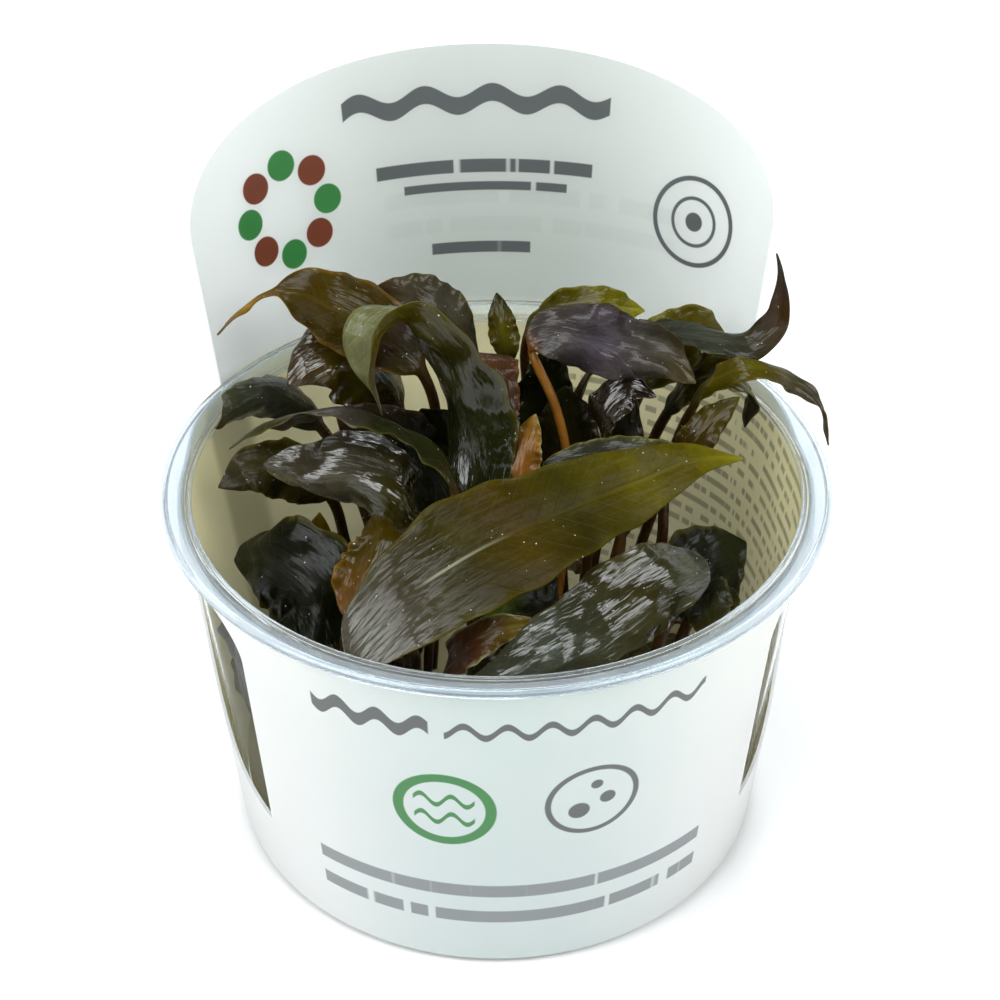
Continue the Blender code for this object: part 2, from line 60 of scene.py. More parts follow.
class Tone(Enum):
    """The colours that the leaves run through, as linear red, green and blue."""

    BLACK_GREEN = (0.006, 0.007, 0.0015)
    DARK_GREEN = (0.015, 0.017, 0.003)
    DARK_OLIVE = (0.034, 0.029, 0.002)
    OLIVE_BROWN = (0.056, 0.036, 0.001)
    OLIVE = (0.090, 0.074, 0.002)
    YELLOW_GREEN = (0.230, 0.215, 0.008)
    PALE_GREEN = (0.400, 0.420, 0.150)
    BRIGHT_GREEN = (0.130, 0.210, 0.015)
    DARK_BROWN = (0.020, 0.010, 0.003)
    BROWN = (0.048, 0.022, 0.004)
    RED_BROWN = (0.075, 0.028, 0.010)
    ORANGE_BROWN = (0.200, 0.080, 0.010)
    AMBER = (0.240, 0.130, 0.010)
    GREY_GREEN = (0.042, 0.047, 0.030)
    SAGE = (0.150, 0.158, 0.064)
    GREY_BROWN = (0.055, 0.046, 0.026)
    # a pale grey for a leaf's base: partly its own pale sheath, partly a painted wet reflection
    WET_GREY = (0.125, 0.128, 0.100)
    PURPLE_GREY = (0.056, 0.047, 0.044)
    VIOLET = (0.063, 0.050, 0.070)


@dataclass(frozen=True)
class LeafFinish:
    """How one face of a leaf takes the light."""

    name: str
    tone: str                    # the mesh's attribute that holds the face's tones
    roughness: float
    water: float                 # share of the wet film that lies on this face
    through: float               # share of light let through
    vein: float                  # brightness of the veins, where the blade's is 1
    gloss: float = 0.06
    film_roughness: float = 0.10
    film_index: float = 1.7
    patches: float = 160.0       # cells to a metre, as the next three
    grain: float = 1500.0
    glints: float = 2600.0
    drops: float = 900.0
    streaks: tuple[float, float] = (0.9, 0.11)      # cells to a millimetre, across and along
    swells: tuple[float, float] = (0.26, 0.075)
    midrib: tuple[float, float] = (0.35, 0.25)      # half its width, and how softly it ends
    pale_rib: tuple[float, float] = (0.2, 0.12)
    glint_edge: tuple[float, float] = (0.135, 0.01)
    relief: Point = (-0.3, 0.2, 0.5)                # of the veins, the grain and the streaks
    film: Point = (1.2, 0.9, 0.06)                  # of the streaks, the swells and the drops
    relief_depth: float = 0.3                       # in millimetres
    film_depth: float = 0.4


UPPER = LeafFinish("leaf_upper", "upper_tone", 0.34, 1.0, 0.22, 1.35)
UNDER = LeafFinish("leaf_under", "under_tone", 0.38, 0.6, 0.22, 1.2)


@dataclass(frozen=True)
class ClearFinish:
    """A clear or cloudy material."""

    name: str
    colour: Colour
    roughness: float
    index: float
    cloud: float             # share of it that is milky


CLEAR_LIP = ClearFinish("clear_lip", (0.82, 0.89, 0.95), 0.05, 1.46, 0.16)
CLEAR_WALL = ClearFinish("clear_wall", (0.96, 0.98, 0.99), 0.0, 1.01, 0.02)
CLOUDY_JELLY = ClearFinish("cloudy_jelly", (0.88, 0.82, 0.60), 0.16, 1.34, 0.45)


class Ink(Enum):
    """Colours of the sleeve and its print, and the light and shade painted on the sleeve."""

    WHITE = (0.93, 0.94, 0.94)
    COOL_WHITE = (0.90, 0.92, 0.93)
    # painted light on the tag's inner face: grey for its shaded middle
    TAG = (0.50, 0.53, 0.49)
    # painted shade for the middle of the sleeve's front, which the lamps light less than its sides
    SHADE = (0.76, 0.84, 0.83)
    # painted light on the tag's inner face: near white for its lit sides
    TAG_SIDE = (0.94, 0.96, 0.94)
    # the inner face is white; this beige is painted warm light that reaches it through and off the
    # leaves, in two tones at random
    BEIGE = (0.95, 0.86, 0.56)
    DEEP_BEIGE = (0.90, 0.82, 0.50)
    # painted shade for the lower inner face, where less light reaches it
    LOW_BEIGE = (0.52, 0.47, 0.30)
    # painted shade at the seam, where the sheet lies double and lets less light through
    SEAM = (0.30, 0.26, 0.13)
    BROWN = (0.16, 0.13, 0.06)
    GREY = (0.13, 0.14, 0.14)
    PALE_GREY = (0.30, 0.32, 0.33)
    GREEN = (0.055, 0.26, 0.07)
    RUST = (0.22, 0.06, 0.03)


class Signal:
    """A number that runs through a material's nodes, with Python's own operators."""

    def __init__(self, graph: "Graph", socket: bpy.types.NodeSocket) -> None:
        """Wrap a socket.

        Args:
            graph: The material's graph.
            socket: The output socket that gives the number.
        """
        self.graph = graph
        self.socket = socket

    def __add__(self, other: "Operand") -> "Signal":
        """Return the sum."""
        return self.graph.math("ADD", self, other)

    def __sub__(self, other: "Operand") -> "Signal":
        """Return the difference."""
        return self.graph.math("SUBTRACT", self, other)

    def __mul__(self, other: "Operand") -> "Signal":
        """Return the product."""
        return self.graph.math("MULTIPLY", self, other)

    def __abs__(self) -> "Signal":
        """Return the size without its sign."""
        return self.graph.math("ABSOLUTE", self)

    def fraction(self) -> "Signal":
        """Return what is left after the whole number."""
        return self.graph.math("FRACT", self)

    def sine(self) -> "Signal":
        """Return the sine, of radians."""
        return self.graph.math("SINE", self)

    def below(self, edge: float, soft: float) -> "Signal":
        """Return 1 below an edge and 0 above it.

        Args:
            edge: Where the change is half done.
            soft: Half the width over which it changes.

        Returns:
            The mask.
        """
        step = self.graph.add("ShaderNodeMapRange", interpolation_type="SMOOTHSTEP")
        self.graph.feed(step.inputs["Value"], self)
        step.inputs["From Min"].default_value = edge - soft
        step.inputs["From Max"].default_value = edge + soft
        step.inputs["To Min"].default_value = 1.0
        step.inputs["To Max"].default_value = 0.0
        return Signal(self.graph, step.outputs["Result"])


Operand = Signal | float


class Graph:
    """A material and the nodes in it."""

    def __init__(self, name: str) -> None:
        """Start a material with only its output.

        Args:
            name: The material's name.
        """
        self.material = bpy.data.materials.new(name)
        self.material.use_nodes = True
        self.tree = self.material.node_tree
        self.tree.nodes.clear()
        self.output = self.tree.nodes.new("ShaderNodeOutputMaterial")

    def add(self, kind: str, **settings: Any) -> bpy.types.Node:
        """Return a new node with its settings.

        Args:
            kind: The node's type, by its name in Blender.
            **settings: Its properties and their values.

        Returns:
            The node, in this tree.
        """
        node = self.tree.nodes.new(kind)
        for key, value in settings.items():
            setattr(node, key, value)
        return node

    def feed(self, socket: bpy.types.NodeSocket, value: Any) -> None:
        """Give an input a signal, another socket or a plain value.

        Args:
            socket: The input.
            value: What it gets.
        """
        if isinstance(value, Signal):
            self.tree.links.new(value.socket, socket)
        elif isinstance(value, bpy.types.NodeSocket):
            self.tree.links.new(value, socket)
        else:
            socket.default_value = value

    def math(self, operation: str, first: Operand, second: Operand | None = None) -> Signal:
        """Return the result of one sum.

        Args:
            operation: The kind of sum, by its name in Blender.
            first: The first number.
            second: The second number, where the sum has one.

        Returns:
            The result.
        """
        node = self.add("ShaderNodeMath", operation=operation)
        self.feed(node.inputs[0], first)
        if second is not None:
            self.feed(node.inputs[1], second)
        return Signal(self, node.outputs[0])

    def largest(self, masks: list[Signal]) -> Signal:
        """Return a mask that is the largest of several.

        Args:
            masks: The masks, at least one.

        Returns:
            The mask.
        """
        whole = masks[0]
        for mask in masks[1:]:
            whole = self.math("MAXIMUM", whole, mask)
        return whole

    def place(self) -> list[Signal]:
        """Return the point's three object coordinates, in millimetres.

        Returns:
            The signals of X, Y and Z.
        """
        coordinates = self.add("ShaderNodeTexCoord")
        parts = self.add("ShaderNodeSeparateXYZ")
        self.feed(parts.inputs[0], coordinates.outputs["Object"])
        return [Signal(self, output) * (1 / MM) for output in parts.outputs]

    def noise(self, scale: float, detail: float = 3.0) -> Signal:
        """Return noise on the object's own coordinates.

        Args:
            scale: Cells to a metre.
            detail: Octaves.

        Returns:
            The noise, near 0.5.
        """
        coordinates = self.add("ShaderNodeTexCoord")
        node = self.add("ShaderNodeTexNoise")
        self.feed(node.inputs["Vector"], coordinates.outputs["Object"])
        node.inputs["Scale"].default_value = scale
        node.inputs["Detail"].default_value = detail
        return Signal(self, node.outputs["Fac"])

    def noise_at(self, place: list[Operand], detail: float) -> Signal:
        """Return noise at a place worked out from other signals, one cell to a unit.

        Args:
            place: Two or three numbers that say where.
            detail: Octaves.

        Returns:
            The noise, near 0.5.
        """
        key = self.add("ShaderNodeCombineXYZ")
        for socket, signal in zip(key.inputs, place):
            self.feed(socket, signal)
        node = self.add("ShaderNodeTexNoise")
        self.feed(node.inputs["Vector"], key.outputs[0])
        node.inputs["Scale"].default_value = 1.0
        node.inputs["Detail"].default_value = detail
        return Signal(self, node.outputs["Fac"])

    def attribute(self, name: str, output: str) -> bpy.types.NodeSocket:
        """Return what a named attribute of the mesh holds."""
        return self.add("ShaderNodeAttribute", attribute_name=name).outputs[output]

    def mix(self, share: Operand, low: Any, high: Any, blend: str = "MIX") -> bpy.types.NodeSocket:
        """Return a mix of two colours.

        Args:
            share: How much of the second there is.
            low: The first colour, as a socket or three numbers.
            high: The second colour.
            blend: The way of mixing.

        Returns:
            The mixed colour.
        """
        node = self.add("ShaderNodeMix", data_type="RGBA", blend_type=blend, clamp_factor=True)
        self.feed(node.inputs[0], share)
        for socket, colour in ((node.inputs[6], low), (node.inputs[7], high)):
            self.feed(socket, (*colour, 1.0) if isinstance(colour, tuple) else colour)
        return node.outputs[2]

    def bump(self, height: Signal, distance: float) -> bpy.types.NodeSocket:
        """Return a normal bent by a height.

        Args:
            height: From 0 to 1.
            distance: How high 1 is, in millimetres.

        Returns:
            The normal.
        """
        node = self.add("ShaderNodeBump")
        node.inputs["Strength"].default_value = 1.0
        node.inputs["Distance"].default_value = distance * MM
        self.feed(node.inputs["Height"], height)
        return node.outputs["Normal"]

    def surface(self, **inputs: Any) -> bpy.types.Node:
        """Return a Principled shader with inputs named as in Blender, with _ for spaces.

        Args:
            **inputs: A value, signal or socket for each input.

        Returns:
            The shader.
        """
        node = self.add("ShaderNodeBsdfPrincipled")
        for key, value in inputs.items():
            self.feed(node.inputs[key.replace("_", " ")], value)
        return node

    def blend(self, share: Operand, first: bpy.types.Node,
              second: bpy.types.Node) -> bpy.types.Node:
        """Return a mix of two shaders.

        Args:
            share: How much of the second there is.
            first: The first shader.
            second: The second shader.

        Returns:
            The mixed shader.
        """
        node = self.add("ShaderNodeMixShader")
        self.feed(node.inputs[0], share)
        self.feed(node.inputs[1], first.outputs[0])
        self.feed(node.inputs[2], second.outputs[0])
        return node

    def close(self, shader: bpy.types.Node) -> bpy.types.Material:
        """Join a shader to the output and return the material."""
        self.feed(self.output.inputs["Surface"], shader.outputs[0])
        return self.material


VEIN_PITCH = 3.3         # along the midrib, between side veins
VEIN_SLOPE = 1.15        # how far a side vein runs on for each millimetre out
VEIN_WANDER = 1.6
VEIN_HALF = 0.05         # as a share of the pitch
PATCH_SHADE = (0.75, 0.70, 0.62)
GRAIN_SHADE = (0.7, 0.75, 0.7)
RIB_PALE = (0.30, 0.31, 0.20)
# painted highlights of tiny drops on the leaves
PAINTED_GLINT_WHITE = (0.75, 0.78, 0.76)
LIT_THROUGH = (2.2, 1.9, 1.1)   # a leaf is brighter and warmer with the light behind it


def leaf_material(finish: LeafFinish) -> bpy.types.Material:
    """Make the material of one face of the leaves.

    The mesh gives each point its tone, in "blade" how far across and along the
    leaf it lies, in millimetres, and how near the edge, and in "state" how wet it
    is and how pale its midrib.

    Args:
        finish: The face's finish.

    Returns:
        The material.
    """
    graph = Graph(finish.name)
    parts = graph.add("ShaderNodeSeparateXYZ")
    graph.feed(parts.inputs[0], graph.attribute("blade", "Vector"))
    across, along = (Signal(graph, output) for output in parts.outputs[:2])
    state = graph.add("ShaderNodeSeparateXYZ")
    graph.feed(state.inputs[0], graph.attribute("state", "Vector"))
    wet, rib = (Signal(graph, output) for output in state.outputs[:2])
    patches = graph.noise(finish.patches, 4.0)
    grain = graph.noise(finish.grain, 2.0)
    streaks, swells = (graph.noise_at([across * wide, along * far], 3.0)
                       for wide, far in (finish.streaks, finish.swells))

    run = along - abs(across) * VEIN_SLOPE + patches * VEIN_WANDER
    side_vein = abs((run * (1 / VEIN_PITCH)).fraction() - 0.5).below(VEIN_HALF, VEIN_HALF)
    midrib = abs(across).below(*finish.midrib)
    veins = graph.largest([side_vein * 0.5, midrib])

    tone = graph.attribute(finish.tone, "Color")
    mottled = graph.mix(patches.below(0.52, 0.12), tone, PATCH_SHADE, "MULTIPLY")
    mottled = graph.mix(grain.below(0.5, 0.2) * 0.5, mottled, GRAIN_SHADE, "MULTIPLY")
    lit = graph.mix(1.0, tone, (finish.vein,) * 3, "MULTIPLY")
    colour = graph.mix(veins * 0.3, mottled, lit)
    colour = graph.mix(abs(across).below(*finish.pale_rib) * rib * 0.7, colour, RIB_PALE)
    # painted glints: small white specks standing in for the highlights of tiny drops
    painted_glint = graph.noise(finish.glints, 0.0).below(*finish.glint_edge)
    colour = graph.mix(painted_glint * 0.8, colour, PAINTED_GLINT_WHITE)

    on_veins, on_grain, on_streaks = finish.relief
    relief = veins * on_veins + grain * on_grain + streaks * on_streaks
    skin = graph.bump(relief, finish.relief_depth)
    of_streaks, of_swells, of_drops = finish.film
    drops = graph.noise(finish.drops, 1.0)
    water = streaks * of_streaks + swells * of_swells + drops * of_drops
    film = graph.bump(water, finish.film_depth)
    main = graph.surface(
        Base_Color=colour, Roughness=finish.roughness, Specular_IOR_Level=finish.gloss, Normal=skin,
        Coat_Weight=wet * finish.water, Coat_Roughness=finish.film_roughness,
        Coat_IOR=finish.film_index, Coat_Normal=film)
    glow = graph.add("ShaderNodeBsdfTranslucent")
    graph.feed(glow.inputs["Color"], graph.mix(1.0, colour, LIT_THROUGH, "MULTIPLY"))
    graph.feed(glow.inputs["Normal"], skin)
    return graph.close(graph.blend(finish.through, main, glow))


def clear_material(finish: ClearFinish) -> bpy.types.Material:
    """Make a clear material with some cloud in it.

    Args:
        finish: The finish.

    Returns:
        The material.
    """
    graph = Graph(finish.name)
    clear = graph.surface(
        Base_Color=(*finish.colour, 1.0), Roughness=finish.roughness, IOR=finish.index,
        Transmission_Weight=1.0)
    cloud = graph.surface(Base_Color=(*finish.colour, 1.0), Roughness=0.4)
    milk = graph.add("ShaderNodeBsdfTranslucent")
    graph.feed(milk.inputs["Color"], (*finish.colour, 1.0))
    return graph.close(graph.blend(finish.cloud, clear, graph.blend(0.6, cloud, milk)))


BARK = ((0.16, 0.10, 0.035), (0.06, 0.035, 0.014))


def crown_material() -> bpy.types.Material:
    """Make the rough brown skin of a root stock.

    Returns:
        The material.
    """
    graph = Graph("root_stock")
    place = graph.place()
    rings = (place[2] * 2.2 + graph.noise(300.0) * 4.0).sine()
    colour = graph.mix(rings.below(0.0, 0.6), *BARK)
    return graph.close(graph.surface(
        Base_Color=colour, Roughness=0.5, Coat_Weight=0.4, Coat_Roughness=0.15,
        Normal=graph.bump(rings, 0.25)))


class Face(Enum):
    """The two faces of the sleeve."""

    OUTER = "sleeve_outer"
    INNER = "sleeve_inner"


@dataclass(frozen=True)
class Print:
    """Marks on the sleeve and the light and shade painted on it, drawn from sums on the point's
    angle and height.
    """

    front_radius: float = 46.4
    tag_radius: float = 55.0
    yaw: float = 3.6
    seam: float = 56.0       # middle of the seam, to the left of the back
    seam_half: float = 6.0
    soft: float = 0.12
    front_rows: tuple[float, ...] = (17.8, 11.7)
    petals: tuple[float, ...] = (-33.8, 83.6, 7.6, 2.5)    # the ring's middle and radius, a disc's
    rings: tuple[float, float] = (38.8, 81.0)
    painted_front_shade: tuple[float, float] = (22.0, 20.0)     # painted shade down the front's middle: half its width, and how softly it ends
    painted_tag_shade: Point = (4.0, 30.0, 24.0)                # painted shade down the tag's middle: where its middle is, half its width, and how softly it ends
    rows: Point = (2.6, 1.1, 0.55)                      # pitch, height, cells to a millimetre
    ghost_rows: tuple[float, ...] = (5.2, 2.8, 0.28, 0.6)
    satin: float = 0.38
    coat: tuple[float, float] = (0.25, 0.12)            # weight and roughness
    through: tuple[float, float] = (0.32, 0.6)          # light let through, outer and inner face

    def flat(self, graph: Graph, back: bool) -> tuple[Signal, Signal]:
        """Return how far round and how high a point is, in millimetres.

        Args:
            graph: The material's graph.
            back: Count from the back, to the right as seen from the front.

        Returns:
            The two signals.
        """
        x, y, height = graph.place()
        side, depth = (x, y) if back else (x, y * -1.0)
        angle = graph.math("ARCTAN2", side, depth)
        turned = angle + math.radians(self.yaw) if back else angle - math.radians(self.yaw)
        return turned * (self.tag_radius if back else self.front_radius), height

    def disc(self, graph: Graph, at: tuple[Signal, Signal], x: float, z: float,
             radius: float) -> Signal:
        """Return the mask of a filled circle."""
        return self.distance(graph, at, x, z).below(radius, self.soft)

    def ring(self, graph: Graph, at: tuple[Signal, Signal], x: float, z: float, radius: float,
             line: float) -> Signal:
        """Return the mask of a circle's line."""
        return abs(self.distance(graph, at, x, z) - radius).below(line / 2, self.soft)

    def distance(self, graph: Graph, at: tuple[Signal, Signal], x: float, z: float) -> Signal:
        """Return how far a point is from the middle of a mark."""
        wide, high = at[0] - x, at[1] - z
        return graph.math("SQRT", wide * wide + high * high)

    def wave(self, at: tuple[Signal, Signal], x: float, z: float, half: float, rise: float,
             length: float, line: float) -> Signal:
        """Return the mask of a waved line with ends at half to each side of x.

        Args:
            at: The place on the sheet.
            x: The line's middle, round the cup.
            z: Its height on the cup.
            half: Half its length.
            rise: How far it swings up and down.
            length: From crest to crest.
            line: Its thickness.

        Returns:
            The mask.
        """
        crest = ((at[0] - x) * (2 * math.pi / length)).sine() * rise
        stroke = abs(at[1] - z - crest).below(line / 2, self.soft)
        return stroke * abs(at[0] - x).below(half, self.soft)

    def dashes(self, graph: Graph, at: tuple[Signal, Signal], pitch: float, line: float,
               words: float, full: float = 0.55) -> Signal:
        """Return rows of dashes of uneven lengths.

        Args:
            graph: The material's graph.
            at: The place on the sheet.
            pitch: From row to row.
            line: Height of a dash.
            words: Cells to a millimetre along a row.
            full: How much of a row the dashes fill, where 0.5 is half of it.

        Returns:
            The mask.
        """
        row = at[1] * (1 / pitch)
        stroke = abs(row.fraction() - 0.5).below(line / pitch / 2, 0.08)
        number = graph.math("FLOOR", row)
        return stroke * graph.noise_at([at[0] * words, number * 7.3], 1.0).below(full, 0.03)

    def words(self, graph: Graph, at: tuple[Signal, Signal], x: float, z: float, half: float,
              line: float) -> Signal:
        """Return one row of dashes of uneven lengths, with ends at half to each side of x."""
        stroke = abs(at[1] - z).below(line / 2, self.soft) * abs(at[0] - x).below(half, self.soft)
        return stroke * graph.noise_at([at[0] * 0.34, z * 7.3], 1.0).below(0.66, 0.03)

    def film(self, graph: Graph, colour: bpy.types.NodeSocket,
             through: float) -> bpy.types.Material:
        """Return the sheet's material, a satin film that lets some light through.

        Args:
            graph: The material's graph.
            colour: The colour with its marks.
            through: The share of light that comes through.

        Returns:
            The material.
        """
        skin = graph.bump(graph.noise(35.0, 2.0), 0.3)
        main = graph.surface(
            Base_Color=colour, Roughness=self.satin, Normal=skin, Coat_Weight=self.coat[0],
            Coat_Roughness=self.coat[1])
        glow = graph.add("ShaderNodeBsdfTranslucent")
        graph.feed(glow.inputs["Color"], colour)
        return graph.close(graph.blend(through, main, glow))

    def outer(self) -> bpy.types.Material:
        """Make the white outer face, with its marks in front and painted shade down its middle.

        Returns:
            The material.
        """
        graph = Graph(Face.OUTER.value)
        at = self.flat(graph, back=False)
        colour = graph.mix(graph.noise(20.0).below(0.5, 0.3), Ink.WHITE.value, Ink.COOL_WHITE.value)
        # painted shade: the front's middle is darkened, as if the lamps lit it less than the sides
        colour = graph.mix(abs(at[0]).below(*self.painted_front_shade), colour, Ink.SHADE.value, "MULTIPLY")
        grey = graph.largest([
            self.wave(at, -20.5, 52.4, 8.6, 1.1, 5.8, 2.5),
            self.wave(at, 8.8, 52.4, 18.6, 1.1, 5.8, 1.3),
            self.ring(graph, at, 11.0, 36.4, 6.6, 0.9),
            self.disc(graph, at, 9.0, 34.6, 1.6),
            self.disc(graph, at, 13.2, 36.4, 1.2),
            self.disc(graph, at, 11.4, 39.6, 0.9),
        ])
        green = graph.largest([
            self.ring(graph, at, -10.3, 35.8, 6.7, 1.6),
            self.wave(at, -10.3, 34.0, 4.4, 1.0, 4.4, 1.0),
            self.wave(at, -10.3, 37.8, 4.4, 1.0, 4.4, 1.0),
        ])
        rows = graph.largest([
            self.words(graph, at, 0.0, level, 32.0, 2.7) for level in self.front_rows])
        colour = graph.mix(grey, colour, Ink.GREY.value)
        colour = graph.mix(green, colour, Ink.GREEN.value)
        colour = graph.mix(rows, colour, Ink.PALE_GREY.value)
        return self.film(graph, colour, self.through[0])

    def inner(self) -> bpy.types.Material:
        """Make the inner face: the tag above, shaded in paint down its middle, and below, painted
        warm beige with rows of marks.

        Returns:
            The material.
        """
        graph = Graph(Face.INNER.value)
        at = self.flat(graph, back=True)
        round_mm, height = at
        # painted shade: the tag's middle is painted grey and its sides near white, and the grey
        # grows towards its foot
        centre, half, soft = self.painted_tag_shade
        middle = abs(round_mm - centre).below(half, soft) * (height * -0.006 + 1.25)
        tag = graph.mix(middle, Ink.TAG_SIDE.value, Ink.TAG.value)
        ghost = self.dashes(graph, at, *self.ghost_rows)
        ghost = ghost * abs(round_mm - 10.0).below(26.0, 1.0) * abs(height - 79.0).below(5.0, 0.6)
        marks = graph.largest([
            self.wave(at, 0.0, 97.0, 22.0, 1.1, 11.0, 3.0),
            self.words(graph, at, 1.3, 85.7, 18.4, 2.3),
            self.words(graph, at, 1.5, 82.2, 14.0, 1.5),
            self.words(graph, at, 0.8, 71.4, 9.0, 2.0),
            self.ring(graph, at, *self.rings, 7.3, 0.8),
            self.ring(graph, at, *self.rings, 4.0, 0.6),
            self.disc(graph, at, *self.rings, 1.6),
            ghost * 0.06,
        ])
        tag = graph.mix(marks, tag, Ink.GREY.value)
        x, z, reach, disc = self.petals
        for first, ink in ((0, Ink.GREEN), (1, Ink.RUST)):
            petals = graph.largest([
                self.disc(graph, at, x + reach * math.cos(a), z + reach * math.sin(a), disc)
                for a in np.radians(np.arange(first * 45.0, 360.0, 90.0))])
            tag = graph.mix(petals, tag, ink.value)

        rows = self.dashes(graph, at, *self.rows)
        right = (round_mm * -1.0).below(-18.0, 1.0) * height.below(57.0, 0.6)
        # painted warm light: the white inner face coloured beige, varied at random
        low = graph.mix(graph.noise(30.0).below(0.5, 0.3), Ink.BEIGE.value, Ink.DEEP_BEIGE.value)
        # painted shade: the inner face darker towards the bottom
        low = graph.mix(height.below(34.0, 24.0) * 0.8, low, Ink.LOW_BEIGE.value)
        low = graph.mix(rows * right * 0.6, low, Ink.BROWN.value)
        # painted shade: the seam, where the sheet lies double, darkened for the light it holds back
        seam = abs(round_mm + self.seam).below(self.seam_half, 1.5)
        low = graph.mix(seam * 0.6, low, Ink.SEAM.value)
        return self.film(graph, graph.mix(height.below(60.5, 2.5), tag, low), self.through[1])


def deselect() -> None:
    """Leave nothing selected."""
    if bpy.context.object and bpy.context.object.mode != "OBJECT":
        bpy.ops.object.mode_set(mode="OBJECT")
    bpy.ops.object.select_all(action="DESELECT")


def only(obj: bpy.types.Object) -> None:
    """Select one object and make it active.

    Args:
        obj: The object.
    """
    deselect()
    obj.select_set(True)
    bpy.context.view_layer.objects.active = obj


def apply_all(obj: bpy.types.Object) -> None:
    """Apply an object's modifiers in order.

    Args:
        obj: The object.
    """
    only(obj)
    for modifier in list(obj.modifiers):
        bpy.ops.object.modifier_apply(modifier=modifier.name)


def smooth(obj: bpy.types.Object, angle: float = 35.0) -> None:
    """Shade an object smooth, with creases sharper than an angle kept."""
    only(obj)
    bpy.ops.object.shade_smooth_by_angle(angle=math.radians(angle))


class Corner(NamedTuple):
    """A corner of a turned section, rounded by a fillet."""

    radius: float
    height: float
    fillet: float = 0.0


FILLET_STEPS = 5
FILLET_REACH = 0.49      # the most of a side that one fillet takes


def rounded(corners: list[Corner]) -> list[tuple[float, float]]:
    """Return the points of a section with its corners rounded.

    Args:
        corners: The section's corners in order.

    Returns:
        Radius and height of each point.
    """
    points: list[tuple[float, float]] = []
    for i, corner in enumerate(corners):
        here = np.array(corner[:2])
        if not corner.fillet or i in (0, len(corners) - 1):
            points.append(tuple(here))
            continue
        back, ahead = np.array(corners[i - 1][:2]) - here, np.array(corners[i + 1][:2]) - here
        reach = min(corner.fillet, *(FILLET_REACH * np.linalg.norm(side) for side in (back, ahead)))
        start = here + back / np.linalg.norm(back) * reach
        end = here + ahead / np.linalg.norm(ahead) * reach
        for t in np.linspace(0.0, 1.0, FILLET_STEPS + 1):
            points.append(tuple((1 - t) ** 2 * start + 2 * t * (1 - t) * here + t * t * end))
    return points


def spun(name: str, section: list[tuple[float, float]], segments: int) -> bpy.types.Object:
    """Spin a section about Z.

    Args:
        name: The object's name.
        section: Radius and height of each point, in millimetres.
        segments: Steps round the circle.

    Returns:
        The closed object, at the origin.
    """
    deselect()
    bpy.ops.mesh.primitive_plane_add(size=MM)
    obj = bpy.context.object
    obj.name = obj.data.name = name
    bpy.ops.object.mode_set(mode="EDIT")
    bpy.ops.mesh.merge(type="CENTER")
    start = section[0]
    bpy.ops.transform.translate(value=(start[0] * MM, 0.0, start[1] * MM))
    for (r0, z0), (r1, z1) in zip(section, section[1:]):
        bpy.ops.mesh.extrude_region_move(
            TRANSFORM_OT_translate={"value": ((r1 - r0) * MM, 0.0, (z1 - z0) * MM)})
    bpy.ops.mesh.select_all(action="SELECT")
    bpy.ops.mesh.spin(steps=segments, angle=2 * math.pi, center=(0, 0, 0), axis=(0, 0, 1))
    bpy.ops.mesh.select_all(action="SELECT")
    bpy.ops.mesh.remove_doubles(threshold=0.02 * MM)
    bpy.ops.mesh.normals_make_consistent(inside=False)
    bpy.ops.object.mode_set(mode="OBJECT")
    smooth(obj)
    return obj


def settle(obj: bpy.types.Object, nodes: list[str]) -> bpy.types.Object:
    """Tie a finished piece to the frame.

    Args:
        obj: The piece, in place.
        nodes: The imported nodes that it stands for.

    Returns:
        The piece.
    """
    only(obj)
    bpy.ops.object.transform_apply(location=True, rotation=True, scale=True)
    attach(obj, BODY)
    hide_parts(*nodes)
    return obj


@dataclass
class Cup:
    """The clear cup: floor, tapered wall and a flared lip with a bead inside."""

    height: float = 62.5
    lip: float = 50.5
    foot: float = 42.5
    taper: float = 0.08
    wall: float = 0.7
    floor: float = 1.0
    lip_from: float = 60.0
    segments: int = 160

    def radius(self, height: float) -> float:
        """Return the outer wall's radius at a height."""
        return self.foot + self.taper * height

    def section(self) -> list[Corner]:
        """Return the corners from the middle of the floor, over the lip and back to the foot.

        Returns:
            The corners in order.
        """
        top, lip = self.height, self.lip
        return [
            Corner(0.0, self.floor),
            Corner(self.radius(self.floor) - self.wall, self.floor, 2.6),
            Corner(self.radius(top - 2.2) - self.wall, top - 2.2, 0.3),
            Corner(lip - 4.6, top - 1.6, 0.35),
            Corner(lip - 4.3, top - 0.9, 0.4),
            Corner(lip - 3.6, top - 1.2, 0.4),
            Corner(lip - 0.6, top, 0.6),
            Corner(lip, top - 0.3, 0.3),
            Corner(lip, top - 1.3, 0.2),
            Corner(lip - 0.6, top - 1.3, 0.2),
            Corner(lip - 0.9, top - 0.8, 0.3),
            Corner(lip - 2.9, top - 1.8, 0.3),
            Corner(self.radius(top - 2.2), top - 2.2, 0.4),
            Corner(self.radius(0.0), 0.0, 3.2),
            Corner(0.0, 0.0),
        ]

    def build(self) -> list[bpy.types.Object]:
        """Return the finished cup.

        Returns:
            The one piece.
        """
        obj = spun("clear_cup", rounded(self.section()), self.segments)
        obj.data.materials.append(clear_material(CLEAR_LIP))
        obj.data.materials.append(clear_material(CLEAR_WALL))
        for face in obj.data.polygons:
            face.material_index = int(face.center.z < self.lip_from * MM)
        return [settle(obj, ["cup"])]


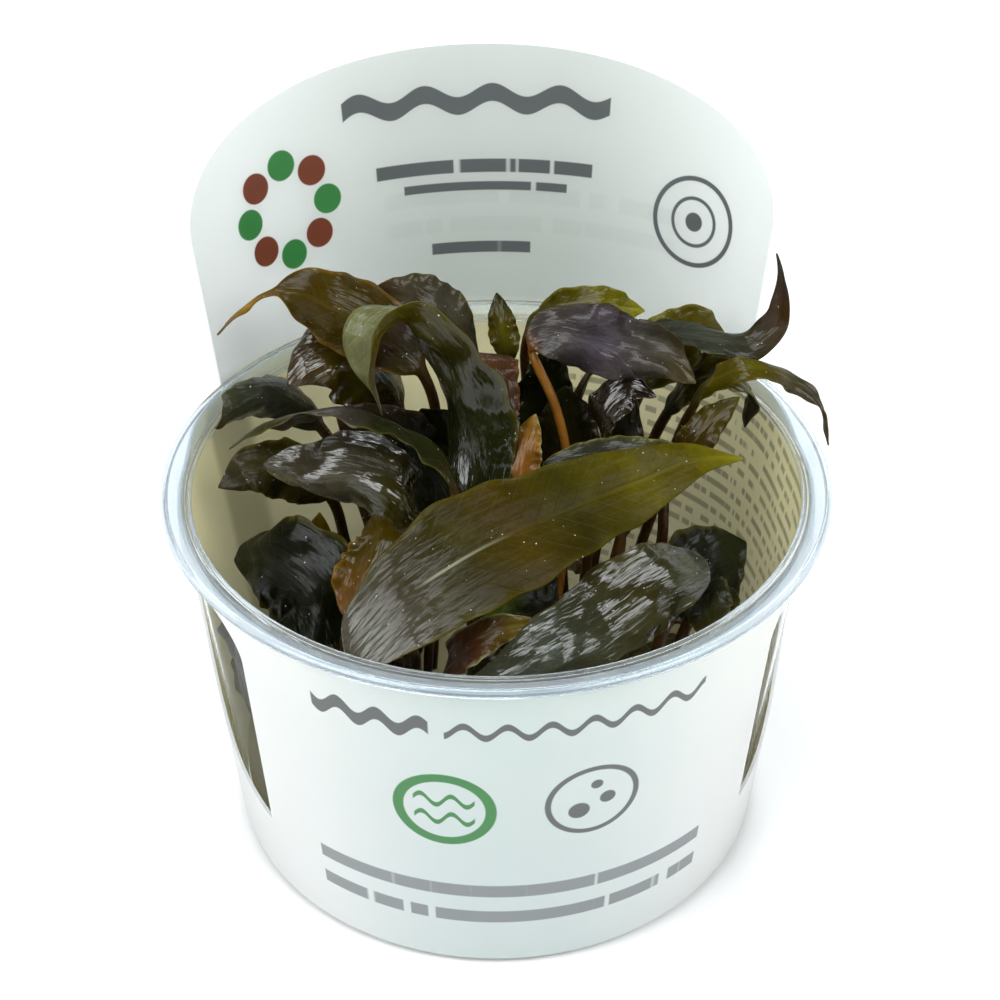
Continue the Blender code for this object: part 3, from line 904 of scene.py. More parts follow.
@dataclass
class Jelly:
    """The disc of cloudy jelly that the plants root in."""

    cup: Cup
    top: float = 9.0
    gap: float = 0.5         # to the cup's wall
    lift: float = 0.3        # above the cup's floor
    swell: float = 0.25      # how much higher its top is at the wall
    creep: float = 6.0       # how far in from the wall its top is raised
    segments: int = 96

    def build(self) -> list[bpy.types.Object]:
        """Return the finished jelly, its top a little raised at the wall.

        Returns:
            The one piece.
        """
        side = self.cup.radius(self.top) - self.cup.wall - self.gap
        low = self.cup.floor + self.lift
        section = [
            Corner(0.0, self.top - self.swell),
            Corner(side - self.creep, self.top - self.swell, 3.0),
            Corner(side, self.top, 0.4),
            Corner(side - self.top * self.cup.taper, low, 3.2),
            Corner(0.0, low),
        ]
        obj = spun("jelly", rounded(section), self.segments)
        obj.data.materials.append(clear_material(CLOUDY_JELLY))
        return [settle(obj, ["nutrient_gel"])]


@dataclass
class Crown:
    """One plantlet's root stock, ringed by the scars of old leaves."""

    name: str
    x: float
    y: float
    foot: float = 9.3
    height: float = 8.0
    radius: float = 2.9
    scars: int = 5
    scar_depth: float = 0.06
    rows: int = 24
    segments: int = 32

    def build(self, material: bpy.types.Material) -> bpy.types.Object:
        """Return the finished crown.

        Args:
            material: The root stock's finish.

        Returns:
            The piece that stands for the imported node.
        """
        section = [(0.0, self.foot + self.height)]
        for share in np.linspace(0.95, 0.0, self.rows):
            dome = math.sin(math.acos(max(share * 1.05 - 0.05, 0.0) ** 1.4))
            body = dome * 0.2 + 0.8 * (1 - share ** 3)
            ring = 1.0 - self.scar_depth * abs(math.sin(share * self.scars * math.pi))
            radius = min(self.radius, self.radius * body * ring + 0.05)
            section.append((radius, self.foot + share * self.height))
        section.append((0.0, self.foot))
        obj = spun(self.name.replace("crown", "root_stock"), section, self.segments)
        obj.location = (self.x * MM, self.y * MM, 0.0)
        obj.data.materials.append(material)
        return settle(obj, [self.name])


@dataclass
class Sleeve:
    """The printed sleeve, with a window at each side and a tall tag at the back."""

    cup: Cup
    sheet: float = 0.5
    gap: float = 0.35            # to the cup's wall
    bottom: float = 1.2
    top: float = 60.3
    back_foot: float = 43.18     # the back's radius at the table, and its growth with height
    back_taper: float = 0.14
    lean_starts: float = 95.0    # degrees from the front where the sheet begins to leave the cup
    tag_half: float = 56.6       # degrees to each side of the back
    shoulder: float = 84.8       # height of the tag's straight edges
    dome: float = 21.2           # height of its round top above them
    dome_power: float = 2.2
    yaw: float = 3.6
    edge: float = 0.8            # degrees from the tag's edge to the next column
    front_columns: int = 120
    tag_columns: int = 48
    rows: int = 20
    window_curve: tuple[tuple[float, float], ...] = ((-25.8, 15.5), (-4.5, 20.5), (-4.5, 50.0))
    window_back: tuple[float, float, float] = (-8.5, 52.0, 4.0)     # a corner's middle and radius
    window_front: tuple[float, float, float] = (-22.3, 50.0, 6.0)
    window_near: float = 30.0    # the cutter runs from here to twice as far out

    def radius(self, angle: float, height: float) -> float:
        """Return the sheet's middle radius, at an angle from the front.

        Args:
            angle: Degrees from the front.
            height: Millimetres above the table.

        Returns:
            The radius of the sheet's middle.
        """
        front = self.cup.radius(height) + self.gap + self.sheet / 2
        back = self.back_foot + self.back_taper * height
        t = (abs(angle) - self.lean_starts) / (180.0 - self.tag_half - self.lean_starts)
        t = min(max(t, 0.0), 1.0)
        return front + (back - front) * t * t * (3 - 2 * t)

    def crest(self, angle: float) -> float:
        """Return the height of the upper edge, at an angle from the front.

        Args:
            angle: Degrees from the front.

        Returns:
            The sleeve's top, or the tag's outline near the back.
        """
        from_back = (180.0 - abs(angle)) / self.tag_half
        if from_back > 1.0:
            return self.top
        power = self.dome_power
        return self.shoulder + self.dome * (1.0 - from_back ** power) ** (1.0 / power)

    def columns(self) -> np.ndarray:
        """Return the columns' angles, close together at the tag's edges.

        Returns:
            Degrees from the front, once round from the back.
        """
        edge = 180.0 - self.tag_half
        tag = 180.0 - self.tag_half * np.sin(np.radians(np.linspace(90, 0, self.tag_columns)))
        front = np.linspace(-edge + self.edge, edge - self.edge, self.front_columns)
        return np.concatenate([-tag[::-1], front, tag])

    def window(self, side: int) -> bpy.types.Object:
        """Return the prism that cuts one side window.

        Args:
            side: -1 for the left window and 1 for the right one.

        Returns:
            The cutter, which is deleted after its cut.
        """
        tip, bend, back = (np.array(point) for point in self.window_curve)
        outline = [(1 - t) ** 2 * tip + 2 * t * (1 - t) * bend + t * t * back
                   for t in np.linspace(0, 1, 25)]
        corners = ((self.window_back, 0, 9), (self.window_front, 90, 11))
        for (y, z, radius), first, points in corners:
            outline += [np.array((y, z)) + radius * np.array((math.cos(a), math.sin(a)))
                        for a in np.radians(np.linspace(first, first + 90, points))]
        deselect()
        bpy.ops.mesh.primitive_circle_add(vertices=len(outline), radius=MM, fill_type="NGON")
        obj = bpy.context.object
        for vertex, (y, z) in zip(obj.data.vertices, outline):
            vertex.co = (side * self.window_near * MM, y * MM, z * MM)
        bpy.ops.object.mode_set(mode="EDIT")
        bpy.ops.mesh.select_all(action="SELECT")
        bpy.ops.mesh.extrude_region_move(
            TRANSFORM_OT_translate={"value": (side * self.window_near * MM, 0.0, 0.0)})
        bpy.ops.mesh.select_all(action="SELECT")
        bpy.ops.mesh.normals_make_consistent(inside=False)
        bpy.ops.object.mode_set(mode="OBJECT")
        return obj

    def build(self) -> list[bpy.types.Object]:
        """Return the finished sleeve.

        Returns:
            The one piece.
        """
        angles = self.columns()
        wide, high = len(angles) - 1, self.rows
        deselect()
        bpy.ops.mesh.primitive_grid_add(x_subdivisions=wide, y_subdivisions=high, size=1.0)
        obj = bpy.context.object
        obj.name = obj.data.name = "printed_sleeve"
        for vertex in obj.data.vertices:
            angle = angles[round((vertex.co.x + 0.5) * wide)]
            height = self.bottom + (vertex.co.y + 0.5) * (self.crest(angle) - self.bottom)
            radius, turn = self.radius(angle, height), math.radians(angle)
            vertex.co = (radius * math.sin(turn) * MM, -radius * math.cos(turn) * MM, height * MM)
        bpy.ops.object.mode_set(mode="EDIT")
        bpy.ops.mesh.select_all(action="SELECT")
        bpy.ops.mesh.remove_doubles(threshold=0.01 * MM)
        bpy.ops.object.mode_set(mode="OBJECT")
        marks = Print(yaw=self.yaw)
        obj.data.materials.append(marks.outer())
        obj.data.materials.append(marks.inner())
        sheet = obj.modifiers.new("Sheet", "SOLIDIFY")
        sheet.thickness = self.sheet * MM
        sheet.offset = 0.0
        sheet.material_offset = 1
        cutters = [self.window(side) for side in (-1, 1)]
        for cutter in cutters:
            cut = obj.modifiers.new("Window", "BOOLEAN")
            cut.object = cutter
            cut.solver = "EXACT"
        apply_all(obj)
        for cutter in cutters:
            bpy.data.objects.remove(cutter, do_unlink=True)
        obj.rotation_euler.z = math.radians(self.yaw)
        smooth(obj, 30.0)
        return [settle(obj, ["sleeve"])]


class Habit(NamedTuple):
    """A crown's place, by the name that the leaves use for it."""

    node: str
    x: float
    y: float


CROWNS = {
    "left": Habit("crown_front_left", -17, -21),
    "middle": Habit("crown_middle", 3, -2),
    "back_left": Habit("crown_back_left", -16, 13),
    "back_right": Habit("crown_back_right", 17, 14),
    "back": Habit("crown_back", 0, 29),
    "right": Habit("crown_front_right", 16, -19),
}


SKYWARD = (0.0, -0.35, 1.0)      # mostly up, and a little to the front
# Teeth of a blade's edges: size as a share of the half width, waves, shares of the seed and
# of the phase
TEETH = ((0.035, 3.1, 1, 1), (0.03, 7.3, -2, 3))
FRILL = (0.30, 3.4, 2.3)         # fine waves at the edge: size, waves to a ruffle, phase's share
QUILTING = (0.05, 0.6)           # swelling between side veins: size, and how far out it starts
GROOVE = (0.28, 0.55)            # along the midrib: depth and half width
MIDRIB = (0.9, 0.6)              # thickness at the base, and half width
# Creases: lengths along and across, then their heights, and what tells the two seeds apart
BROAD_CREASE = (11.0, 14.0, 4.6)
SMALL_CREASE = (4.2, 2.6, 9.0)
CREASE_HEIGHTS = (1.7, 0.45)
CREASE_SHIFT = 40.0


@dataclass
class Leaf:
    """One leaf: its stalk, its blade's midrib, the way its blade lies and its tones."""

    name: str
    crown: str
    azimuth: float           # degrees round the crown, from +X
    stalk: tuple[Point, ...]
    blade: tuple[Point, ...]
    width: float
    across: Point            # from one edge of the blade to the other
    tones: tuple[Tone, ...]  # from the blade's base to its tip
    across_tip: Point | None = None             # the same at the tip, where it turns
    form: tuple[float, float] = (0.6, 0.85)     # powers of the outline at its base and its tip
    ruffle: float = 0.7                         # height of the edges' waves
    waves: float = 2.5                          # how many there are
    slot: str = "leaf_olive"
    edge: Tone = Tone.OLIVE
    under: Tone = Tone.GREY_BROWN
    stem: Tone = Tone.BROWN
    roll: tuple[float, float] = (0.25, 0.25)    # radians that each edge bends down
    crumple: float = 0.7
    twist: float = 0.0       # degrees, over the outer half
    tail: tuple[float, float] = (1.0, 0.0)      # where a narrow tail starts, its share of the width
    rib: tuple[float, float] = (0.0, 0.0)       # stretch of the blade where the midrib is pale
    wet: tuple[float, ...] = (0.25,)            # how wet it is, from base to tip
    rim: Point = (0.84, 0.16, 0.55)     # the edge's tone: where it starts, over how much, its most

    foot_ring: float = 4.6   # radius round the crown where the stalks start
    foot_height: float = 9.6
    rise: float = 9.0        # how far a stalk first goes up, and how far out
    lean: float = 0.6
    stalk_half: float = 1.0
    tip_half: float = 0.12
    stalk_thick: float = 1.7
    blade_thick: float = 0.34
    edge_thick: float = 0.12
    fold: float = 0.12       # how steeply the two halves rise from the midrib
    phase: float = 1.9       # by which the two edges' waves differ, in radians
    columns: int = 12
    stalk_rows: int = 16
    blade_rows: int = 56

    def route(self) -> np.ndarray:
        """Return points along the middle of the leaf, close together.

        Returns:
            The stalk's rows from its foot, then the blade's to its tip.
        """
        crown = CROWNS[self.crown]
        turn = math.radians(self.azimuth)
        out = np.array([math.cos(turn), math.sin(turn), 0.0])
        foot = np.array([crown.x, crown.y, self.foot_height]) + self.foot_ring * out
        risen = foot + self.lean * out + (0, 0, self.rise)
        points = np.array([foot, risen, *self.stalk, *self.blade])
        knots = np.concatenate([[0.0], np.cumsum(np.linalg.norm(np.diff(points, axis=0), axis=1))])
        slopes = np.gradient(points, knots, axis=0)
        fine = np.linspace(0.0, knots[-1], 400)
        span = np.clip(np.searchsorted(knots, fine) - 1, 0, len(points) - 2)
        length = (knots[span + 1] - knots[span])[:, None]
        t = (fine - knots[span])[:, None] / length
        curve = ((2 * t**3 - 3 * t**2 + 1) * points[span]
                 + (t**3 - 2 * t**2 + t) * length * slopes[span]
                 + (3 * t**2 - 2 * t**3) * points[span + 1]
                 + (t**3 - t**2) * length * slopes[span + 1])
        turn_at = knots[2 + len(self.stalk)]
        stops = np.concatenate([np.linspace(0.0, turn_at, self.stalk_rows + 1),
                                np.linspace(turn_at, knots[-1], self.blade_rows + 1)[1:]])
        return np.stack([np.interp(stops, fine, curve[:, axis]) for axis in range(3)], axis=1)

    def outline(self, u: np.ndarray) -> np.ndarray:
        """Return half the blade's width along it, as a share of the most.

        Args:
            u: How far along the blade, from 0 to 1.

        Returns:
            The share at each place.
        """
        base, tip = self.form
        start, narrow = self.tail
        peak = base / (base + tip)
        v = np.clip(u / start, 0, 1)
        blade = v**base * (1 - v)**tip / (peak**base * (1 - peak)**tip)
        tail = narrow * np.clip((1 - u) / max(1 - start, 0.01), 0, 1) ** 0.8 * (u > 0)
        return np.hypot(blade, tail)

    def shape(self) -> dict[str, np.ndarray]:
        """Work out the leaf's grid.

        Returns:
            The points, and for each of them how far across and along it lies, how
            near the edge, its share of the blade, and the leaf's thickness there.
        """
        route = self.route()
        u = np.concatenate([np.zeros(self.stalk_rows), np.linspace(0, 1, self.blade_rows + 1)])
        seed = float(sum(map(ord, self.name)))
        stalkness = np.clip(1 - u * 12, 0, 1)
        half = np.maximum(self.width / 2 * self.outline(u),
                          self.tip_half + (self.stalk_half - self.tip_half) * stalkness)

        along = unit(np.gradient(route, axis=0))
        side = np.outer(1 - u, unit(np.array(self.across)))
        side += np.outer(u, unit(np.array(self.across_tip or self.across)))
        side = unit(side - (side * along).sum(axis=1, keepdims=True) * along)
        normal = unit(np.cross(along, side))
        turned = np.radians(self.twist) * (np.clip((u - 0.5) / 0.5, 0, 1) ** 1.5)[:, None]
        side, normal = (side * np.cos(turned) + normal * np.sin(turned),
                        normal * np.cos(turned) - side * np.sin(turned))
        length = np.concatenate([[0.0], np.cumsum(np.linalg.norm(np.diff(route, axis=0), axis=1))])
        length -= length[self.stalk_rows]

        skyward = (normal * np.array(SKYWARD)).sum(axis=1)[self.stalk_rows:].sum()
        top = -1.0 if skyward < 0 else 1.0
        body = np.clip(u * 6, 0, 1) * np.clip((1 - u) * 5, 0, 1)
        t = np.linspace(-1, 1, self.columns + 1)[None, :]
        u, half, body, length = (a[:, None] for a in (u, half, body, length))
        phase = np.where(t > 0, self.phase, 0.0)
        ragged = sum(size * np.sin(2 * math.pi * waves * u + seeds * seed + phases * phase)
                     for size, waves, seeds, phases in TEETH)
        across = half * t * (1 + ragged * (u > 0.02))
        bend = np.where(t > 0, *self.roll[::-1]) * body + 1e-3
        drop = np.abs(across) * (1 - np.cos(bend * np.abs(t))) / (bend * np.abs(t) + 1e-6)
        across = across * np.sin(bend * np.abs(t)) / (bend * np.abs(t) + 1e-6)
        wave = self.ruffle * t**2 * np.sin(2 * math.pi * self.waves * u + phase)
        size, waves, phases = FRILL
        fine = size * t**4 * np.sin(2 * math.pi * (waves * self.waves) * u + phases * phase + seed)
        lumps = crumpled(length, across, seed)
        run = length - VEIN_SLOPE * np.abs(across)
        quilt = QUILTING[0] * np.cos(2 * math.pi * run / VEIN_PITCH)
        quilt = quilt * np.clip(np.abs(across) - QUILTING[1], 0, 1) * (1 - t**2)
        groove = -GROOVE[0] * top * np.exp(-(across / GROOVE[1])**2)
        lift = self.fold * half * np.abs(t) + wave + fine + quilt + groove + self.crumple * lumps
        lift = body * lift - top * drop
        grid = (route[:, None] + side[:, None] * across[..., None]
                + normal[:, None] * lift[..., None])

        stem = np.clip(1 - u * 14, 0, 1)
        rounded_stem = self.stalk_thick * np.sqrt(np.clip(1 - t**2, 0.01, 1))
        rib = MIDRIB[0] * (1 - u) * np.exp(-(across / MIDRIB[1])**2)
        leafy = self.edge_thick + (self.blade_thick - self.edge_thick) * (1 - t**4) + rib
        thick = stem * rounded_stem + (1 - stem) * leafy
        return {"grid": grid, "across": across, "along": length + 0 * across,
                "edge": np.abs(t) + 0 * u, "share": u + 0 * t, "stem": stem + 0 * t,
                "thick": thick, "top": np.array(top)}

    def tone(self, tones: tuple[Tone, ...], shape: dict[str, np.ndarray]) -> np.ndarray:
        """Return a colour for each point, from tones that run from base to tip.

        Args:
            tones: The tones, spaced evenly.
            shape: The grid's values.

        Returns:
            The colours, with the edge's and the stalk's own laid over them.
        """
        stops = np.linspace(0, 1, len(tones))
        values = np.array([tone.value for tone in tones])
        share = shape["share"]
        colour = np.stack([np.interp(share, stops, values[:, i]) for i in range(3)], axis=-1)
        start, over, most = self.rim
        rim = (np.clip((shape["edge"] - start) / over, 0, 1) ** 2)[..., None] * most
        colour = colour * (1 - rim) + np.array(self.edge.value) * rim
        stem = shape["stem"][..., None]
        return colour * (1 - stem) + np.array(self.stem.value) * stem

    def build(self, materials: list[bpy.types.Material]) -> bpy.types.Object:
        """Return the finished leaf.

        Args:
            materials: The finishes of the upper and the under face.

        Returns:
            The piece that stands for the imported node.
        """
        shape = self.shape()
        rows, columns = shape["grid"].shape[0] - 1, self.columns
        deselect()
        bpy.ops.mesh.primitive_grid_add(x_subdivisions=columns, y_subdivisions=rows, size=1.0)
        obj = bpy.context.object
        obj.name = obj.data.name = self.name.removeprefix("leaf_") + "_leaf"
        flat = np.empty(len(obj.data.vertices) * 3)
        obj.data.vertices.foreach_get("co", flat)
        flat = flat.reshape(-1, 3)
        row = np.rint((flat[:, 1] + 0.5) * rows).astype(int)
        column = np.rint((flat[:, 0] + 0.5) * columns).astype(int)
        obj.data.vertices.foreach_set("co", (shape["grid"][row, column] * MM).ravel())
        self.paint(obj, shape, row, column)
        thick = shape["thick"][row, column]
        group = obj.vertex_groups.new(name="thickness")
        for index, value in enumerate(thick / thick.max()):
            group.add([index], float(value), "REPLACE")
        for material in materials:
            obj.data.materials.append(material)
        body = obj.modifiers.new("Body", "SOLIDIFY")
        body.thickness = float(thick.max()) * MM
        body.offset = 0.0
        body.vertex_group = group.name
        body.material_offset = 1
        if shape["top"] > 0:
            body.material_offset = -1
            obj.data.polygons.foreach_set("material_index", [1] * len(obj.data.polygons))
        finer = obj.modifiers.new("Finer", "SUBSURF")
        finer.levels = finer.render_levels = 1
        apply_all(obj)
        bpy.ops.object.shade_smooth()
        return settle(obj, [self.name])

    def paint(self, obj: bpy.types.Object, shape: dict[str, np.ndarray], row: np.ndarray,
              column: np.ndarray) -> None:
        """Write what the materials read into the mesh's attributes.

        Args:
            obj: The leaf's flat mesh.
            shape: The grid's values.
            row: Each vertex's row.
            column: Each vertex's column.
        """
        blade = np.stack([shape[key] for key in ("across", "along", "edge")], axis=-1)
        attribute = obj.data.attributes.new("blade", "FLOAT_VECTOR", "POINT")
        attribute.data.foreach_set("vector", blade[row, column].astype(np.float32).ravel())
        share = shape["share"]
        wet = np.interp(share, np.linspace(0, 1, len(self.wet)), self.wet)
        rib = np.clip((share - self.rib[0]) * 20, 0, 1) * np.clip((self.rib[1] - share) * 8, 0, 1)
        state = np.stack([wet, rib, np.zeros_like(wet)], axis=-1)[row, column]
        attribute = obj.data.attributes.new("state", "FLOAT_VECTOR", "POINT")
        attribute.data.foreach_set("vector", state.astype(np.float32).ravel())
        for finish, tones in ((UPPER, self.tones), (UNDER, (self.under,))):
            colour = self.tone(tones, shape)[row, column]
            colour = np.concatenate([colour, np.ones((len(row), 1))], axis=1)
            attribute = obj.data.attributes.new(finish.tone, "FLOAT_COLOR", "POINT")
            attribute.data.foreach_set("color", colour.astype(np.float32).ravel())


def unit(vectors: np.ndarray) -> np.ndarray:
    """Return the vectors at length one."""
    return vectors / np.maximum(np.linalg.norm(vectors, axis=-1, keepdims=True), 1e-9)


def crumpled(length: np.ndarray, across: np.ndarray, seed: float) -> np.ndarray:
    """Return uneven creases that run mostly along a leaf, from about -1 to 1.

    Args:
        length: How far along each row is, in millimetres.
        across: How far across each point is.
        seed: Tells one leaf's creases from another's.

    Returns:
        A height for each point.
    """
    heights = np.empty(across.shape)
    for (row, column), side in np.ndenumerate(across):
        along = float(length[row, 0])
        run, slant, wide = BROAD_CREASE
        broad = noise.noise(Vector((along / run + side / slant, side / wide, seed)))
        run, wide, slant = SMALL_CREASE
        small = noise.noise(Vector((along / run, side / wide - along / slant, seed + CREASE_SHIFT)))
        heights[row, column] = CREASE_HEIGHTS[0] * broad + CREASE_HEIGHTS[1] * small
    return heights


def low_leaf(name: str, crown: str, azimuth: float, reach: float, height: float, width: float,
             tones: tuple[Tone, ...], slot: str) -> Leaf:
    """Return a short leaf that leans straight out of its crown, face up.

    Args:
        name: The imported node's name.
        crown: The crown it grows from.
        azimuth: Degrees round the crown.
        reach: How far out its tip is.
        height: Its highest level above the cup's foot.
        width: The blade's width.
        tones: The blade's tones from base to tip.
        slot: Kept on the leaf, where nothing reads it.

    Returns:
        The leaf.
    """
    turn = math.radians(azimuth)
    out = np.array([math.cos(turn), math.sin(turn), 0.0])
    foot = np.array([CROWNS[crown].x, CROWNS[crown].y, 0.0])

    def route(*shares: tuple[float, float]) -> tuple[Point, ...]:
        """Return points at shares of the reach and of the height."""
        return tuple(tuple(foot + part * reach * out + (0.0, 0.0, level * height))
                     for part, level in shares)

    blade = route((0.5, 0.85), (0.65, 0.98), (0.83, 1.0), (1.0, 0.88))
    return Leaf(name, crown, azimuth, route((0.42, 0.72)), blade, width, (-out[1], out[0], 0.0),
                tones, slot=slot, blade_rows=32, stalk_rows=8, columns=10, wet=(0.4,))


